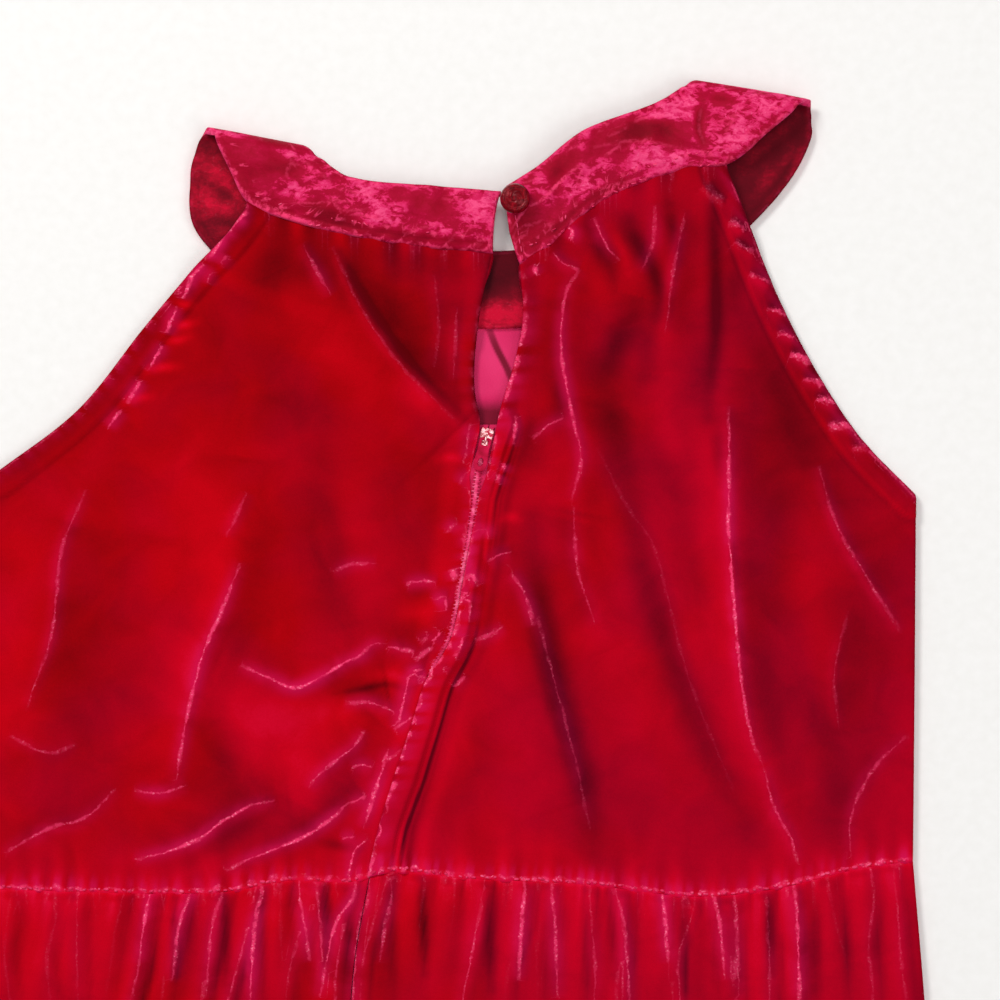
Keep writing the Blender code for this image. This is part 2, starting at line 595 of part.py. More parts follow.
def make_legs(finish, collection):
    left = (-1, "left", LEG_FOLDS_LEFT, GATHERS_LEFT, 3)
    right = (1, "right", LEG_FOLDS_RIGHT, GATHERS_RIGHT, 8)
    for side, word, folds, count, seed in (left, right):
        back = leg_outlines(side, waist_height)
        relief = leg_height(folds, count, seed)
        panel(f"leg_back_{word}", back, 4 * count, 8, relief, finish, collection, up=1.7)
        front = leg_outlines(side, front_waist, 1.0)
        panel(f"leg_front_{word}", front, 4, 12, None, finish, collection, up=1.3)


def make_neckband(finish, collection):
    """One strip from the button end to the loop end, folded at both shoulders. Its grid is the outer face."""
    bottom, top = band_edges(4)
    middle = (bottom + top) / 2
    reach = np.concatenate([[0], np.cumsum(np.linalg.norm(np.diff(middle, axis=0), axis=1))])
    wanted = [0]
    for k in range(1, len(reach)):
        turned = abs(bottom[k, 2] - bottom[wanted[-1], 2]) > BAND_STEP / 4
        if reach[k] - reach[wanted[-1]] > BAND_STEP or turned:
            wanted.append(k)
    wanted[-1] = len(reach) - 1
    bottom, top = bottom[wanted], top[wanted]

    def place(u, v):
        station = u * (len(wanted) - 1)
        low = np.stack([np.interp(station, range(len(wanted)), bottom[:, k]) for k in range(3)], -1)
        high = np.stack([np.interp(station, range(len(wanted)), top[:, k]) for k in range(3)], -1)
        points = low + (high - low) * v[:, None]
        points[:, 0] -= end_bow(points, v)
        raised = smoothstep(*BAND_RAISED, points[:, 2])
        points[:, 2] += BAND_CROWN * raised * 4 * v * (1 - v)
        points[:, 2] = np.maximum(points[:, 2], 0)
        return points

    obj = grid_object("neckband", len(wanted) - 1, 3, place, finish, collection)
    add_wall(obj, BAND, -1.0)


def make_zip_tape(finish, collection):
    """The closed zip's tape, under the centre back seam."""
    line = zip_curve()
    line = line[line[:, 1] > ZIP_END]

    def place(u, v):
        middle = along(line[::-1], v)
        x = middle[:, 0] + (u - 0.5) * ZIP_TAPE_WIDTH
        return np.column_stack([x, middle[:, 1], np.full(len(x), CLOTH + AIR)])

    obj = grid_object("zip_tape", 1, 14, place, finish, collection)
    add_wall(obj, ZIP_TAPE_THICK, 1.0)


def zip_frame():
    """Where the slider's eye stands, and the matrix that turns +Y up the zip there."""
    line = zip_curve()
    eye, below = along(line, [RING_SHARE, RING_SHARE + 0.04])
    angle = math.atan2(eye[0] - below[0], eye[1] - below[1])
    return Vector((*eye, 0.0)), Matrix.Rotation(-angle, 4, "Z")


def slider_levels():
    """Heights of the slider's foot, its top and the axis that the pull tab turns on."""
    foot = CLOTH + AIR + ZIP_TAPE_THICK + AIR
    top = foot + SLIDER_THICK
    return foot, top, top + RING_RADIUS - RING_THICK / 2 + 0.1


def box_mesh(size, middle, bevel):
    bm = bmesh.new()
    bmesh.ops.create_cube(bm, size=1.0)
    bmesh.ops.scale(bm, vec=Vector(size) * MM, verts=bm.verts)
    bmesh.ops.translate(bm, vec=Vector(middle) * MM, verts=bm.verts)
    bmesh.ops.bevel(bm, geom=bm.edges[:], offset=bevel * MM, segments=2, affect="EDGES", profile=0.5)
    mesh = bpy.data.meshes.new("box")
    bm.to_mesh(mesh)
    bm.free()
    return mesh


def make_slider(finish, collection, cutters):
    """The slider's body with a round eye standing on it."""
    eye, turn = zip_frame()
    foot, top, axis = slider_levels()
    size = (SLIDER_WIDTH, SLIDER_LENGTH, SLIDER_THICK)
    middle = (0, SLIDER_AHEAD - SLIDER_LENGTH / 2, foot + SLIDER_THICK / 2)
    body = bpy.data.objects.new("zip_slider", box_mesh(size, middle, SLIDER_BEVEL))
    body.data.materials.append(finish)
    body.matrix_world = Matrix.Translation(eye * MM) @ turn
    collection.objects.link(body)
    bpy.ops.mesh.primitive_torus_add(
        major_segments=20, minor_segments=8, major_radius=RING_RADIUS * MM, minor_radius=RING_THICK / 2 * MM,
    )
    ring = bpy.context.object
    ring.name = "slider_eye"
    upright = Matrix.Rotation(math.pi / 2, 4, "Y")
    ring.matrix_world = Matrix.Translation((eye + Vector((0, 0, axis))) * MM) @ turn @ upright
    for owner in list(ring.users_collection):
        owner.objects.unlink(ring)
    cutters.objects.link(ring)
    ring.hide_render = True
    ring.display_type = "WIRE"
    join = body.modifiers.new("Eye", "BOOLEAN")
    join.operation = "UNION"
    join.object = ring


def ring_points(width, length, low, count=10):
    """A flat outline that is square at y 0 and round at its far end."""
    half = width / 2
    points = [(-half, low), (half, low)]
    for k in range(count + 1):
        angle = -math.pi * k / count
        points.append((half * math.cos(angle), -length + half + half * math.sin(angle)))
    return points


def make_pull(finish, collection):
    """The pull tab: a flat drop with a window for the slider's eye, turning on its top bar."""
    eye, turn = zip_frame()
    axis = slider_levels()[2]
    bar = PULL_THICK / 2
    curve = bpy.data.curves.new("zip_pull", "CURVE")
    curve.dimensions = "2D"
    curve.fill_mode = "BOTH"
    curve.extrude = PULL_THICK / 2 * MM
    side, below = PULL_WINDOW[0] / 2, -bar - PULL_WINDOW[1]
    opening = [(-side, -bar), (side, -bar), (side, below), (-side, below)]
    width, length, from_end = PULL_HOLE
    turns = np.linspace(0, 2 * math.pi, 13)[:-1]
    hole = [(width / 2 * math.cos(a), -PULL_LENGTH + from_end + length / 2 * math.sin(a)) for a in turns]
    for outline in (ring_points(PULL_WIDTH, PULL_LENGTH, bar), opening, hole):
        spline = curve.splines.new("POLY")
        spline.points.add(len(outline) - 1)
        for point, (x, y) in zip(spline.points, outline):
            point.co = (x * MM, y * MM, 0.0, 1.0)
        spline.use_cyclic_u = True
    shape = bpy.data.objects.new("pull_outline", curve)
    collection.objects.link(shape)
    bpy.context.view_layer.update()
    mesh = bpy.data.meshes.new_from_object(shape.evaluated_get(bpy.context.evaluated_depsgraph_get()))
    bpy.data.objects.remove(shape, do_unlink=True)
    bm = bmesh.new()
    bm.from_mesh(mesh)
    bmesh.ops.remove_doubles(bm, verts=bm.verts, dist=0.01 * MM)
    bm.to_mesh(mesh)
    bm.free()
    mesh.materials.clear()
    mesh.materials.append(finish)
    obj = bpy.data.objects.new("zip_pull", mesh)
    obj.matrix_world = Matrix.Translation((eye + Vector((0, 0, axis))) * MM) @ turn
    collection.objects.link(obj)


def button_foot():
    """Height of the neckband's face under the button, where its shank starts."""
    first, second = BAND_BACK_RIGHT[0], BAND_BACK_RIGHT[1]
    return max(first.top_z, second.top_z) + BAND_CROWN / 2 + AIR


def make_button(finish, collection):
    """A domed shank button, turned from a profile that runs from its top down its outer side to its foot."""
    foot = button_foot()
    rim = foot + SHANK_HEIGHT
    profile = [(0.0, rim + BUTTON_DOME)]
    for k in range(1, 6):
        angle = math.pi / 2 * (1 - k / 5)
        dome = BUTTON_DOME - BUTTON_EDGE
        profile.append((BUTTON_RADIUS * math.cos(angle), rim + BUTTON_EDGE + dome * math.sin(angle)))
    profile += [(BUTTON_RADIUS - BUTTON_UNDERCUT, rim)]
    profile += [(SHANK_RADIUS, rim), (SHANK_RADIUS, foot), (0.0, foot)]
    mesh = bpy.data.meshes.new("button")
    edges = [(k, k + 1) for k in range(len(profile) - 1)]
    mesh.from_pydata([(r * MM, 0.0, z * MM) for r, z in profile], edges, [])
    mesh.materials.append(finish)
    obj = bpy.data.objects.new("button", mesh)
    obj.location = (BUTTON_AT[0] * MM, BUTTON_AT[1] * MM, 0.0)
    collection.objects.link(obj)
    screw = obj.modifiers.new("Turn", "SCREW")
    screw.steps = screw.render_steps = 18
    screw.use_merge_vertices = True
    screw.merge_threshold = 0.00001
    screw.use_smooth_shade = True


def make_button_loop(finish, collection):
    """The loop sewn into the other end of the neckband, round the button's shank."""
    foot = button_foot()
    height = foot + SHANK_HEIGHT / 2
    reach = SHANK_RADIUS + LOOP_CLEAR + LOOP_THICK / 2
    x, y = BUTTON_AT
    end_x = BAND_BACK_LEFT[-1].top_x + AIR + 0.2
    route = [(end_x, y + LOOP_HALF, height - 1.4), (x - 3.0, y + 1.5, height - 0.4)]
    for k in range(7):
        angle = math.radians(120 - 40 * k)
        route.append((x + reach * math.cos(angle), y + reach * math.sin(angle), height))
    route += [(x - 3.0, y - 1.5, height - 0.4), (end_x, y - LOOP_HALF, height - 1.4)]
    dense = along(flatten(route), np.linspace(0, 1, 22))
    curve = bpy.data.curves.new("button_loop", "CURVE")
    curve.dimensions = "3D"
    curve.bevel_depth = LOOP_THICK / 2 * MM
    curve.bevel_resolution = 1
    curve.use_fill_caps = True
    spline = curve.splines.new("POLY")
    spline.points.add(len(dense) - 1)
    for point, place in zip(spline.points, dense):
        point.co = (*(place * MM), 1.0)
    curve.materials.append(finish)
    obj = bpy.data.objects.new("button_loop", curve)
    collection.objects.link(obj)


def main():
    clear_scene()
    jumpsuit = make_collection("jumpsuit")
    cutters = make_collection("cutters")
    velvet = material("velvet", (0.38, 0.002, 0.008), 0.9)
    band_velvet = material("band_velvet", (0.48, 0.01, 0.05), 0.7)
    tape = material("tape", (0.5, 0.01, 0.05), 0.8)
    enamel = material("enamel", (0.45, 0.02, 0.06), 0.35, 0.3)
    gloss = material("button_gloss", (0.2, 0.004, 0.01), 0.15)
    make_bodice(velvet, jumpsuit)
    make_legs(velvet, jumpsuit)
    make_neckband(band_velvet, jumpsuit)
    make_zip_tape(tape, jumpsuit)
    make_slider(enamel, jumpsuit, cutters)
    make_pull(enamel, jumpsuit)
    make_button(gloss, jumpsuit)
    make_button_loop(band_velvet, jumpsuit)


main()
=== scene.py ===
"""The looks of a small child's sleeveless velvet jumpsuit, laid out flat on its front with its back up.

Lengths in the tables are millimetres, and MM turns them into Blender's metres.
The first half repeats the garment's own sizes, outlines and folds. The second half makes the cloth on them.
"""

import math
from collections import namedtuple

import bmesh
import bpy
import numpy as np
from mathutils import Matrix, Vector
from mathutils.bvhtree import BVHTree


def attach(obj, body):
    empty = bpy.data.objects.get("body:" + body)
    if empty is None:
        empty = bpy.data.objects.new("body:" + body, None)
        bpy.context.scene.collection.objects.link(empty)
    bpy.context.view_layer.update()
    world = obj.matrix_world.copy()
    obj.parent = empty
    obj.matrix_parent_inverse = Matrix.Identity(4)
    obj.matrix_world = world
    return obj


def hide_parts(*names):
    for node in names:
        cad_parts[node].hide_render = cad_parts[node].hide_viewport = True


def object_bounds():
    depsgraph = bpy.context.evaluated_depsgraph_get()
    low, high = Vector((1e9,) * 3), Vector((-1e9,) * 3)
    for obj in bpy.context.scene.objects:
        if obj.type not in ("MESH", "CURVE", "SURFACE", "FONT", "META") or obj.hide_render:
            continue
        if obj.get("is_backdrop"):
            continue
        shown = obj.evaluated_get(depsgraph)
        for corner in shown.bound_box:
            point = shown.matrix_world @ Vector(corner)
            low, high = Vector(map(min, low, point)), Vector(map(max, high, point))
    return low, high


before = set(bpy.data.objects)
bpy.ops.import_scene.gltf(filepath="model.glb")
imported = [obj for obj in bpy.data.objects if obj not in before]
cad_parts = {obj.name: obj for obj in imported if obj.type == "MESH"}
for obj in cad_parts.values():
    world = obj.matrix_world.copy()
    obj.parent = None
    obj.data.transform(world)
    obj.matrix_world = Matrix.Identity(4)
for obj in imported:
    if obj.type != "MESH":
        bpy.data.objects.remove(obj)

MM = 0.001
DROP_FROM = 0.05  # in metres, above everything that points are dropped onto

# Cloth, seams and layers
CLOTH = 1.2  # one layer of velvet with its pile
BAND = 2.4  # the neckband, velvet on both faces
SEAM = 0.35  # between two sewn pieces
AIR = 0.3  # between two layers that lie on each other
BACK_REST = CLOTH + AIR + CLOTH  # top of a back panel where it lies on the front
LIFT_OVER_BAND = BAND - CLOTH + 0.1  # and how much higher it is over the front neckband or the zip
LIFT_REACH = 7.0  # the run over which it climbs there

# Garment sizes
UNDERARM_LEFT = (-169.0, 137.0)
UNDERARM_RIGHT = (139.0, 130.0)
SIDE_WAIST_LEFT = -190.0
SIDE_WAIST_RIGHT = 138.0
CENTRE_WAIST = -43.5  # where the centre back seam crosses the waist
CROTCH = (-34.0, -195.0)
LEG_END = -465.0
HEM_LEFT_LEG = (-192.0, -60.0)  # outer and inner corner
HEM_RIGHT_LEG = (127.0, -8.0)
ARMHOLE_HEM = 8.0
HEM_RISE = 0.7  # how far the turned hem stands above the panel
FRONT_INSET = 2.5  # how far the front's armholes lie inside the back's

# Fastenings
BUTTON_AT = (5.0, 228.0)
BUTTON_RADIUS = 5.0
BUTTON_DOME = 4.2
SHANK_RADIUS = 1.3
SHANK_HEIGHT = 2.2
LOOP_THICK = 1.1
LOOP_CLEAR = 0.35  # between the loop and the shank
LOOP_HALF = 0.9  # half the distance between the loop's two ends
ZIP_TAPE_WIDTH = 10.0
ZIP_TAPE_THICK = 0.8
ZIP_END = -75.0  # the zip runs on below the waist seam
SLIDER_WIDTH = 4.2
SLIDER_LENGTH = 7.0
SLIDER_AHEAD = 4.0  # how far the slider's nose stands above its eye
SLIDER_THICK = 1.6
PULL_THICK = 0.7
RING_RADIUS = 1.2  # the slider's eye, which the pull tab hangs in
RING_THICK = 0.6
RING_SHARE = 0.022  # how far down the zip the eye stands
ZIP_TOP = 152.0  # where the panels' edges meet the zip

Section = namedtuple("Section", "bottom_x bottom_y bottom_z top_x top_y top_z")
# A shoulder fold's crest. The band's edges leave it in a curve, and end up this much further towards the
# neck for each millimetre away from it: the upper layer's free and neck edges, and the lower's free edge.
Crest = namedtuple("Crest", "bottom_x bottom_y bottom_z top_x top_y top_z over_bottom over_top under_bottom")
Fold = namedtuple("Fold", "height left right route")
Gather = namedtuple("Gather", "share width height length lean")


def paired(numbers):
    """The points of a route that is given as x, y, x, y and so on."""
    return tuple(zip(numbers[::2], numbers[1::2]))


def table(kind, *rows):
    """Rows of one kind: what it has before its route, and then the x and y of each point of the route."""
    if "route" not in kind._fields:
        return tuple(kind(*row) for row in rows)
    start = kind._fields.index("route")
    return tuple(kind(*row[:start], paired(row[start:])) for row in rows)


# The neckband's outer face from the button end, over the right shoulder, along the front and back.
# bottom is the edge that the bodice is sewn to, or the free edge over the shoulder. top is the neck edge.
BAND_BACK_RIGHT = table(
    Section,
    (6.6, 206.8, 5.6, 2, 232.8, 7.2), (16.5, 213, 5.6, 12, 239, 7.8), (30.9, 225.7, 5.8, 27.5, 251, 8.8),
    (47.9, 234.2, 6.4, 45.5, 257.9, 8.4), (63, 238.5, 7.2, 54.4, 261.7, 7.7),
    (75.2, 239.7, 8.6, 57.2, 263.5, 7),
)
BAND_SHOULDER_RIGHT = table(
    Section,
    (81.2, 243.2, 10, 59, 264.8, 6.5), (88.2, 249.6, 11.4, 60.4, 265.7, 6.2),
)
BAND_FOLD_RIGHT = Crest(103.4, 261.7, 11.6, 66.4, 268.4, 6.0, 0.95, 1.4, -0.28)
BAND_EAR_RIGHT = table(
    Section,
    (104, 249.6, 0, 71, 258, 0), (100.8, 241.6, 0, 74.5, 251, 0), (95.8, 233.6, 0, 73.5, 244.5, 0),
)
BAND_FRONT = table(
    Section,
    (82, 218.5, 0, 66, 236, 0), (62, 204, 0, 50, 225.5, 0), (34, 191, 0, 27, 215.8, 0),
    (0, 185.5, 0, 0, 211.5, 0), (-34, 188.6, 0, -30, 213.8, 0), (-66, 197.5, 0, -56, 220, 0),
    (-93, 208.9, 0, -73, 226, 0),
)
BAND_EAR_LEFT = table(
    Section,
    (-102.2, 219.5, 0, -78.5, 231, 0), (-103.6, 229.6, 0, -79, 235, 0), (-103, 239, 0, -74, 239, 0),
)
BAND_FOLD_LEFT = Crest(-97.3, 252.6, 10.0, -66.6, 247.0, 6.0, 0.85, 2.0, -0.5)
BAND_SHOULDER_LEFT = (Section(-89.2, 236.8, 9.2, -58.6, 241.4, 6.8),)
BAND_BACK_LEFT = table(
    Section,
    (-84, 227.2, 7.4, -56, 239.2, 7.4), (-70, 221.2, 6.4, -51.6, 236.4, 8.4),
    (-52, 216.8, 5.8, -43.5, 234.4, 8.8), (-28, 212.7, 5.6, -23, 232.8, 8.8),
    (-2.4, 210.4, 5.6, 0.3, 231, 8),
)
BAND_END_BOW = 1.6  # how far the button end's cut edge bows out
BAND_BOW_REACH = 9.0  # and how far along the band that is felt
BAND_CROWN = 1.4  # how far the band's middle stands proud of the line between its edges
BAND_RAISED = (3.0, 6.0)  # its outer face is crowned above these heights, and lies flat below them
FOLD_STEPS = 6
NECK_SLOPE = 24.0  # how far below the neck seam the back panels start to rise to it

# Outlines, from the neck down
ARMHOLE_LEFT = (
    (-84.2, 226.2), (-91.0, 217.0), (-101.7, 206.3), (-118.9, 186.0), (-141.0, 158.5), UNDERARM_LEFT,
)
ARMHOLE_RIGHT = (
    (75.2, 239.4), (82.7, 221.5), (93.7, 194.5), (107.3, 168.7), (121.0, 148.5), UNDERARM_RIGHT,
)
OPENING_LEFT = ((-2.7, 210.0), (-6.2, 193.8), (-8.6, 172.0), (-8.2, 163.0), (-6.6, 156.0))
OPENING_RIGHT = ((6.8, 206.4), (7.6, 190.0), (5.0, 175.0), (1.0, 162.0), (-0.6, 156.0))
ZIP_LINE = (
    (-3.6, 153.5), (-7.0, 138.5), (-9.5, 121.0), (-13.2, 99.5), (-16.8, 82.5), (-23.9, 69.0),
    (-28.9, 53.5), (-33.4, 40.0), (-39.8, 19.0), (-44.5, -2.0), (-49.0, -30.0), (-50.0, ZIP_END),
)
ZIP_GAPS = ((153.5, 5.4), (136.0, 5.4), (127.0, 1.2), (90.0, 0.9), (ZIP_END, 0.6))  # y and width
WAIST_LINE = (
    (SIDE_WAIST_LEFT, -1.0), (-93.0, -2.5), (-71.0, 1.3), (-50.0, 1.0), (-38.0, 4.5), (-13.0, 2.2),
    (29.0, 0.0), (66.0, -4.0), (93.0, -1.2), (119.0, 5.1), (SIDE_WAIST_RIGHT, 8.0),
)
CENTRE_SEAM = ((-49.0, -30.0), (-50.0, ZIP_END), (-43.0, -140.0), CROTCH)
SIDE_LEFT_LEG = ((-200.0, -70.0), (-206.0, -150.0), (-205.0, -220.0), (-199.0, -340.0))
SIDE_RIGHT_LEG = ((143.0, -60.0), (144.0, -140.0), (141.0, -220.0), (134.0, -340.0))
INSEAM_LEFT_LEG = ((-42.0, -250.0), (-50.0, -340.0))
INSEAM_RIGHT_LEG = ((-26.0, -250.0), (-18.0, -340.0))

# The bodice's largest folds: height, left, right and the route's points. A crest is raised by its height, a
# trough has a height below 0, and left and right are how far it spreads on each side, seen along its route.
FOLDS_LEFT = table(
    Fold,
    (6.5, 8, 26, -56, 213, -46, 192, -34, 174.5, -13, 153),
    (5.4, 10, 12, -84, 142, -87.5, 112, -99, 77, -106.3, 45, -109, 26),
    (4.6, 7, 14, -92, 76, -68, 66, -53.3, 72.3, -40, 80.7, -24, 76),
    (3, 9, 7, -140, 4, -100, 15.7, -83.3, 25.7, -70, 28),
    (3, 8, 7, -98, 4, -76.7, 11.7, -63.3, 17.3, -46, 31),
    (2.6, 8, 7, -66, 27, -58.3, 41, -51.7, 46, -42, 56),
    (-2.6, 10, 10, -62, 150, -57, 115, -50, 86),
    (3, 14, 14, -140, 120, -148, 70, -152, 20),
)
FOLDS_RIGHT = table(
    Fold,
    (4.6, 8, 9, 29, 214, 20.5, 186, 24, 156.7, 27, 141, 23, 122),
    (3.4, 8, 9, 27, 124, 25, 110, 28.3, 96.7, 36, 78),
    (4.8, 8, 16, -1, 112, 6, 92, 9.5, 76, 14.5, 58, 24, 26),
    (4, 10, 9, 38, 158, 50, 128, 60, 98, 72, 66, 92, 24),
    (4.8, 11, 7, 76, 172, 75.7, 135, 76.7, 103, 80.7, 65, 92, 30),
    (3.6, 6, 7, 49, 236, 51.7, 218, 47, 196),
    (3, 6, 6, 31, 226, 36.7, 210, 41, 186),
    (2.8, 6, 8, 63, 240, 57.3, 201.7, 55, 170),
    (2.6, 14, 12, 112, 128, 116, 80, 112, 22),
)
# y and width of the smooth strip beside the zip
PLACKET_WIDTH = (
    (156.0, 9.6), (139.0, 8.0), (128.0, 6.2), (100.0, 6.6), (75.0, 7.4), (50.0, 8.0), (35.0, 8.4),
    (18.0, 7.4), (5.0, 8.4), (-10.0, 8.6),
)
PLACKET_RISE = 1.5
PLACKET_GROOVE = 2.2  # how deep the groove along its far side is
PLACKET_GROOVE_WIDTH = 2.2
PLACKET_END = (150.0, 162.0)  # it fades out between these heights
OPENING_START = (150.0, 160.0)  # and the opening's edges curl up from here
PUFF_LEFT = 2.6  # how much air lies under the middle of each back panel
PUFF_RIGHT = 3.4
OPENING_CURL = 1.3  # the cut edges of the back opening turn up a little
CURL_REACH = 6.0
TAB_CLEAR = 7.0  # the cloth lies low within this distance of the pull tab

# Gathers, as shares of each trouser panel's waist, with the slope of their lean as they go down
GATHERS_LEFT = 13
GATHERS_RIGHT = 16
GATHER_HEIGHT = 2.6
GATHER_LENGTH = 62.0
LEG_PUFF = 1.6
LEG_FOLDS_LEFT = table(
    Fold,
    (3, 12, 16, -150, -30, -156, -180, -146, -420),
    (2.6, 14, 10, -96, -40, -100, -160, -112, -330),
)
LEG_FOLDS_RIGHT = table(
    Fold,
    (3, 14, 12, 92, -34, 98, -170, 86, -420),
    (2.6, 10, 14, 24, -40, 32, -170, 40, -330),
)


def blend(t, start, end, a, b):
    return ((end - t) * a + (t - start) * b) / (end - start)


def bell(away, width):
    """1 in the middle, and falling off on both sides of it."""
    return np.exp(-((away / width) ** 2))


def falloff(away, reach):
    """1 up to the start, and falling off beyond it."""
    return np.exp(-np.maximum(away, 0) / reach)


def at_height(rows, y):
    """A value that a table gives at heights, from the top down."""
    return np.interp(y, *np.array(rows)[::-1].T)


def unit(vectors):
    return vectors / np.linalg.norm(vectors, axis=1, keepdims=True)


def run_length(line):
    return np.linalg.norm(np.diff(line, axis=0), axis=1).sum()


def flatten(points, per_span=12):
    """A dense line through the points on a centripetal Catmull-Rom curve."""
    p = np.asarray(points, float)
    p = np.vstack([2 * p[0] - p[1], p, 2 * p[-1] - p[-2]])
    knots = np.concatenate([[0], np.cumsum(np.linalg.norm(np.diff(p, axis=0), axis=1) ** 0.5)])
    spans = []
    for k in range(len(p) - 3):
        a, b, c, d = p[k : k + 4]
        t0, t1, t2, t3 = knots[k : k + 4]
        t = np.linspace(t1, t2, per_span, endpoint=False)[:, None]
        ab, bc, cd = blend(t, t0, t1, a, b), blend(t, t1, t2, b, c), blend(t, t2, t3, c, d)
        spans.append(blend(t, t1, t2, blend(t, t0, t2, ab, bc), blend(t, t1, t3, bc, cd)))
    return np.vstack([*spans, p[-2]])


def along(line, shares, by_height=False):
    """Points at shares of a dense line's length, or of its height."""
    steps = np.diff(line, axis=0)
    sizes = np.abs(steps[:, 1]) if by_height else np.linalg.norm(steps, axis=1)
    reach = np.concatenate([[0], np.cumsum(sizes)])
    wanted = np.asarray(shares) * reach[-1]
    return np.stack([np.interp(wanted, reach, line[:, k]) for k in range(line.shape[1])], -1)


def smoothstep(low, high, value):
    t = np.clip((value - low) / (high - low), 0, 1)
    return t * t * (3 - 2 * t)


def measure(route, x, y):
    """How far points lie from a dense line, above 0 on its left, and their share of its length."""
    line = np.asarray(route, float)
    ends = np.diff(line, axis=0)
    sizes = np.linalg.norm(ends, axis=1)
    before = np.concatenate([[0], np.cumsum(sizes)])
    gaps_x = np.ravel(x)[:, None] - line[None, :-1, 0]
    gaps_y = np.ravel(y)[:, None] - line[None, :-1, 1]
    t = np.clip((gaps_x * ends[:, 0] + gaps_y * ends[:, 1]) / sizes**2, 0, 1)
    far = np.hypot(gaps_x - t * ends[:, 0], gaps_y - t * ends[:, 1])
    best = far.argmin(axis=1)
    rows = np.arange(len(best))
    side = np.sign(ends[best, 0] * gaps_y[rows, best] - ends[best, 1] * gaps_x[rows, best])
    share = (before[best] + t[rows, best] * sizes[best]) / before[-1]
    return (far[rows, best] * side).reshape(np.shape(x)), share.reshape(np.shape(x))


def fold_relief(folds, x, y):
    total = np.zeros(np.shape(x))
    for fold in folds:
        away, share = measure(flatten(fold.route, 6), x, y)
        width = np.where(away > 0, fold.left, fold.right)
        taper = np.sin(math.pi * share) ** 0.6
        total += fold.height * taper * bell(away, width)
    return total


def waist_height(x):
    line = flatten(WAIST_LINE)
    return np.interp(x, line[:, 0], line[:, 1])


def zip_curve():
    return flatten(ZIP_LINE)


def band_fold(fold, turn):
    """Sections round a shoulder fold, whose crest is the table's row. turn is 1 towards the front or -1."""
    bottom = np.array([fold.bottom_x, fold.bottom_y])
    top = np.array([fold.top_x, fold.top_y])
    line = (top - bottom) / np.linalg.norm(top - bottom)
    outward = np.array([-line[1], line[0]]) * (1 if line[0] > 0 else -1)
    found = []
    for angle in np.linspace(math.pi / 2, -math.pi / 2, FOLD_STEPS + 1) * turn:
        inset, height = (1 - math.cos(angle)) / 2, (1 + math.sin(angle)) / 2
        run = math.sqrt(inset / 2)
        lean_bottom, lean_top = (fold.over_bottom, fold.over_top) if angle > 0 else (fold.under_bottom, 0.0)
        low = bottom + (lean_bottom * run * line - inset * outward) * fold.bottom_z
        high = top + (lean_top * run * line - inset * outward) * fold.top_z
        found.append(Section(*low, fold.bottom_z * height, *high, fold.top_z * height))
    return found


def band_parts():
    """The neckband's sections in order, a list for each stretch of it."""
    return [
        BAND_BACK_RIGHT, BAND_SHOULDER_RIGHT, band_fold(BAND_FOLD_RIGHT, 1), BAND_EAR_RIGHT, BAND_FRONT,
        BAND_EAR_LEFT, band_fold(BAND_FOLD_LEFT, -1), BAND_SHOULDER_LEFT, BAND_BACK_LEFT,
    ]


def band_edges(per_span):
    """The neckband's seam edge and neck edge as dense lines, from the button end to the loop end."""
    sections = np.array([row for part in band_parts() for row in part])
    return flatten(sections[:, :3], per_span), flatten(sections[:, 3:], per_span)


def end_bow(points, v):
    """How far each of the band's points moves across, so that the button end's cut edge is bowed."""
    first = BAND_BACK_RIGHT[0]
    end_y = blend(v, 0, 1, first.bottom_y, first.top_y)
    from_end = np.hypot(points[..., 0] - first.bottom_x, points[..., 1] - end_y)
    raised = smoothstep(*BAND_RAISED, points[..., 2])
    return BAND_END_BOW * raised * 4 * v * (1 - v) * bell(from_end, BAND_BOW_REACH)


def band_seam(part):
    """The seam edge along one of the band's tables, in the band's own order."""
    parts, per_span = band_parts(), 12
    start = sum(len(rows) for rows in parts[: parts.index(part)])
    return band_edges(per_span)[0][start * per_span : (start + len(part) - 1) * per_span + 1]


def seam_below(part):
    """The neck seam along one of the band's tables, moved down by the gap that sewn pieces keep."""
    return band_seam(part)[:, :2] - [0.0, SEAM]


def front_neck(x):
    line = band_seam(BAND_FRONT)[::-1]
    return np.interp(x, line[:, 0], line[:, 1])


def zip_side(side, top, bottom):
    """One edge of the closed zip between two heights: side is -1 for the left back and 1 for the right."""
    line = zip_curve()
    line = line[(line[:, 1] <= top) & (line[:, 1] >= bottom)]
    half = at_height(ZIP_GAPS, line[:, 1]) / 2
    return line + np.stack([side * half, np.zeros(len(line))], -1)


def zip_at_waist(side):
    line = zip_side(side, 40.0, -40.0)
    crossing = np.argmin(np.abs(line[:, 1] - waist_height(line[:, 0])))
    return float(line[crossing, 0])


def back_edge(side):
    """The centre edge of a back panel from the neck to the waist, where its last point is on the seam."""
    opening = OPENING_LEFT if side < 0 else OPENING_RIGHT
    start = seam_below(BAND_BACK_RIGHT)[0] if side > 0 else seam_below(BAND_BACK_LEFT)[-1]
    x = zip_at_waist(side)
    foot = np.array([x, waist_height(x) + SEAM / 2])
    closed = zip_side(side, ZIP_TOP, foot[1] + 3.0)
    return np.vstack([flatten([start, *opening[1:]]), closed, foot])


def waist_edge(left, right, offset):
    x = np.linspace(left, right, 60)
    return np.stack([x, waist_height(x) + offset], -1)


def front_waist(x):
    """The front's waist seam is straight from side to side, and hidden."""
    ends = [waist_height(SIDE_WAIST_LEFT), waist_height(SIDE_WAIST_RIGHT)]
    return np.interp(x, [SIDE_WAIST_LEFT, SIDE_WAIST_RIGHT], ends)


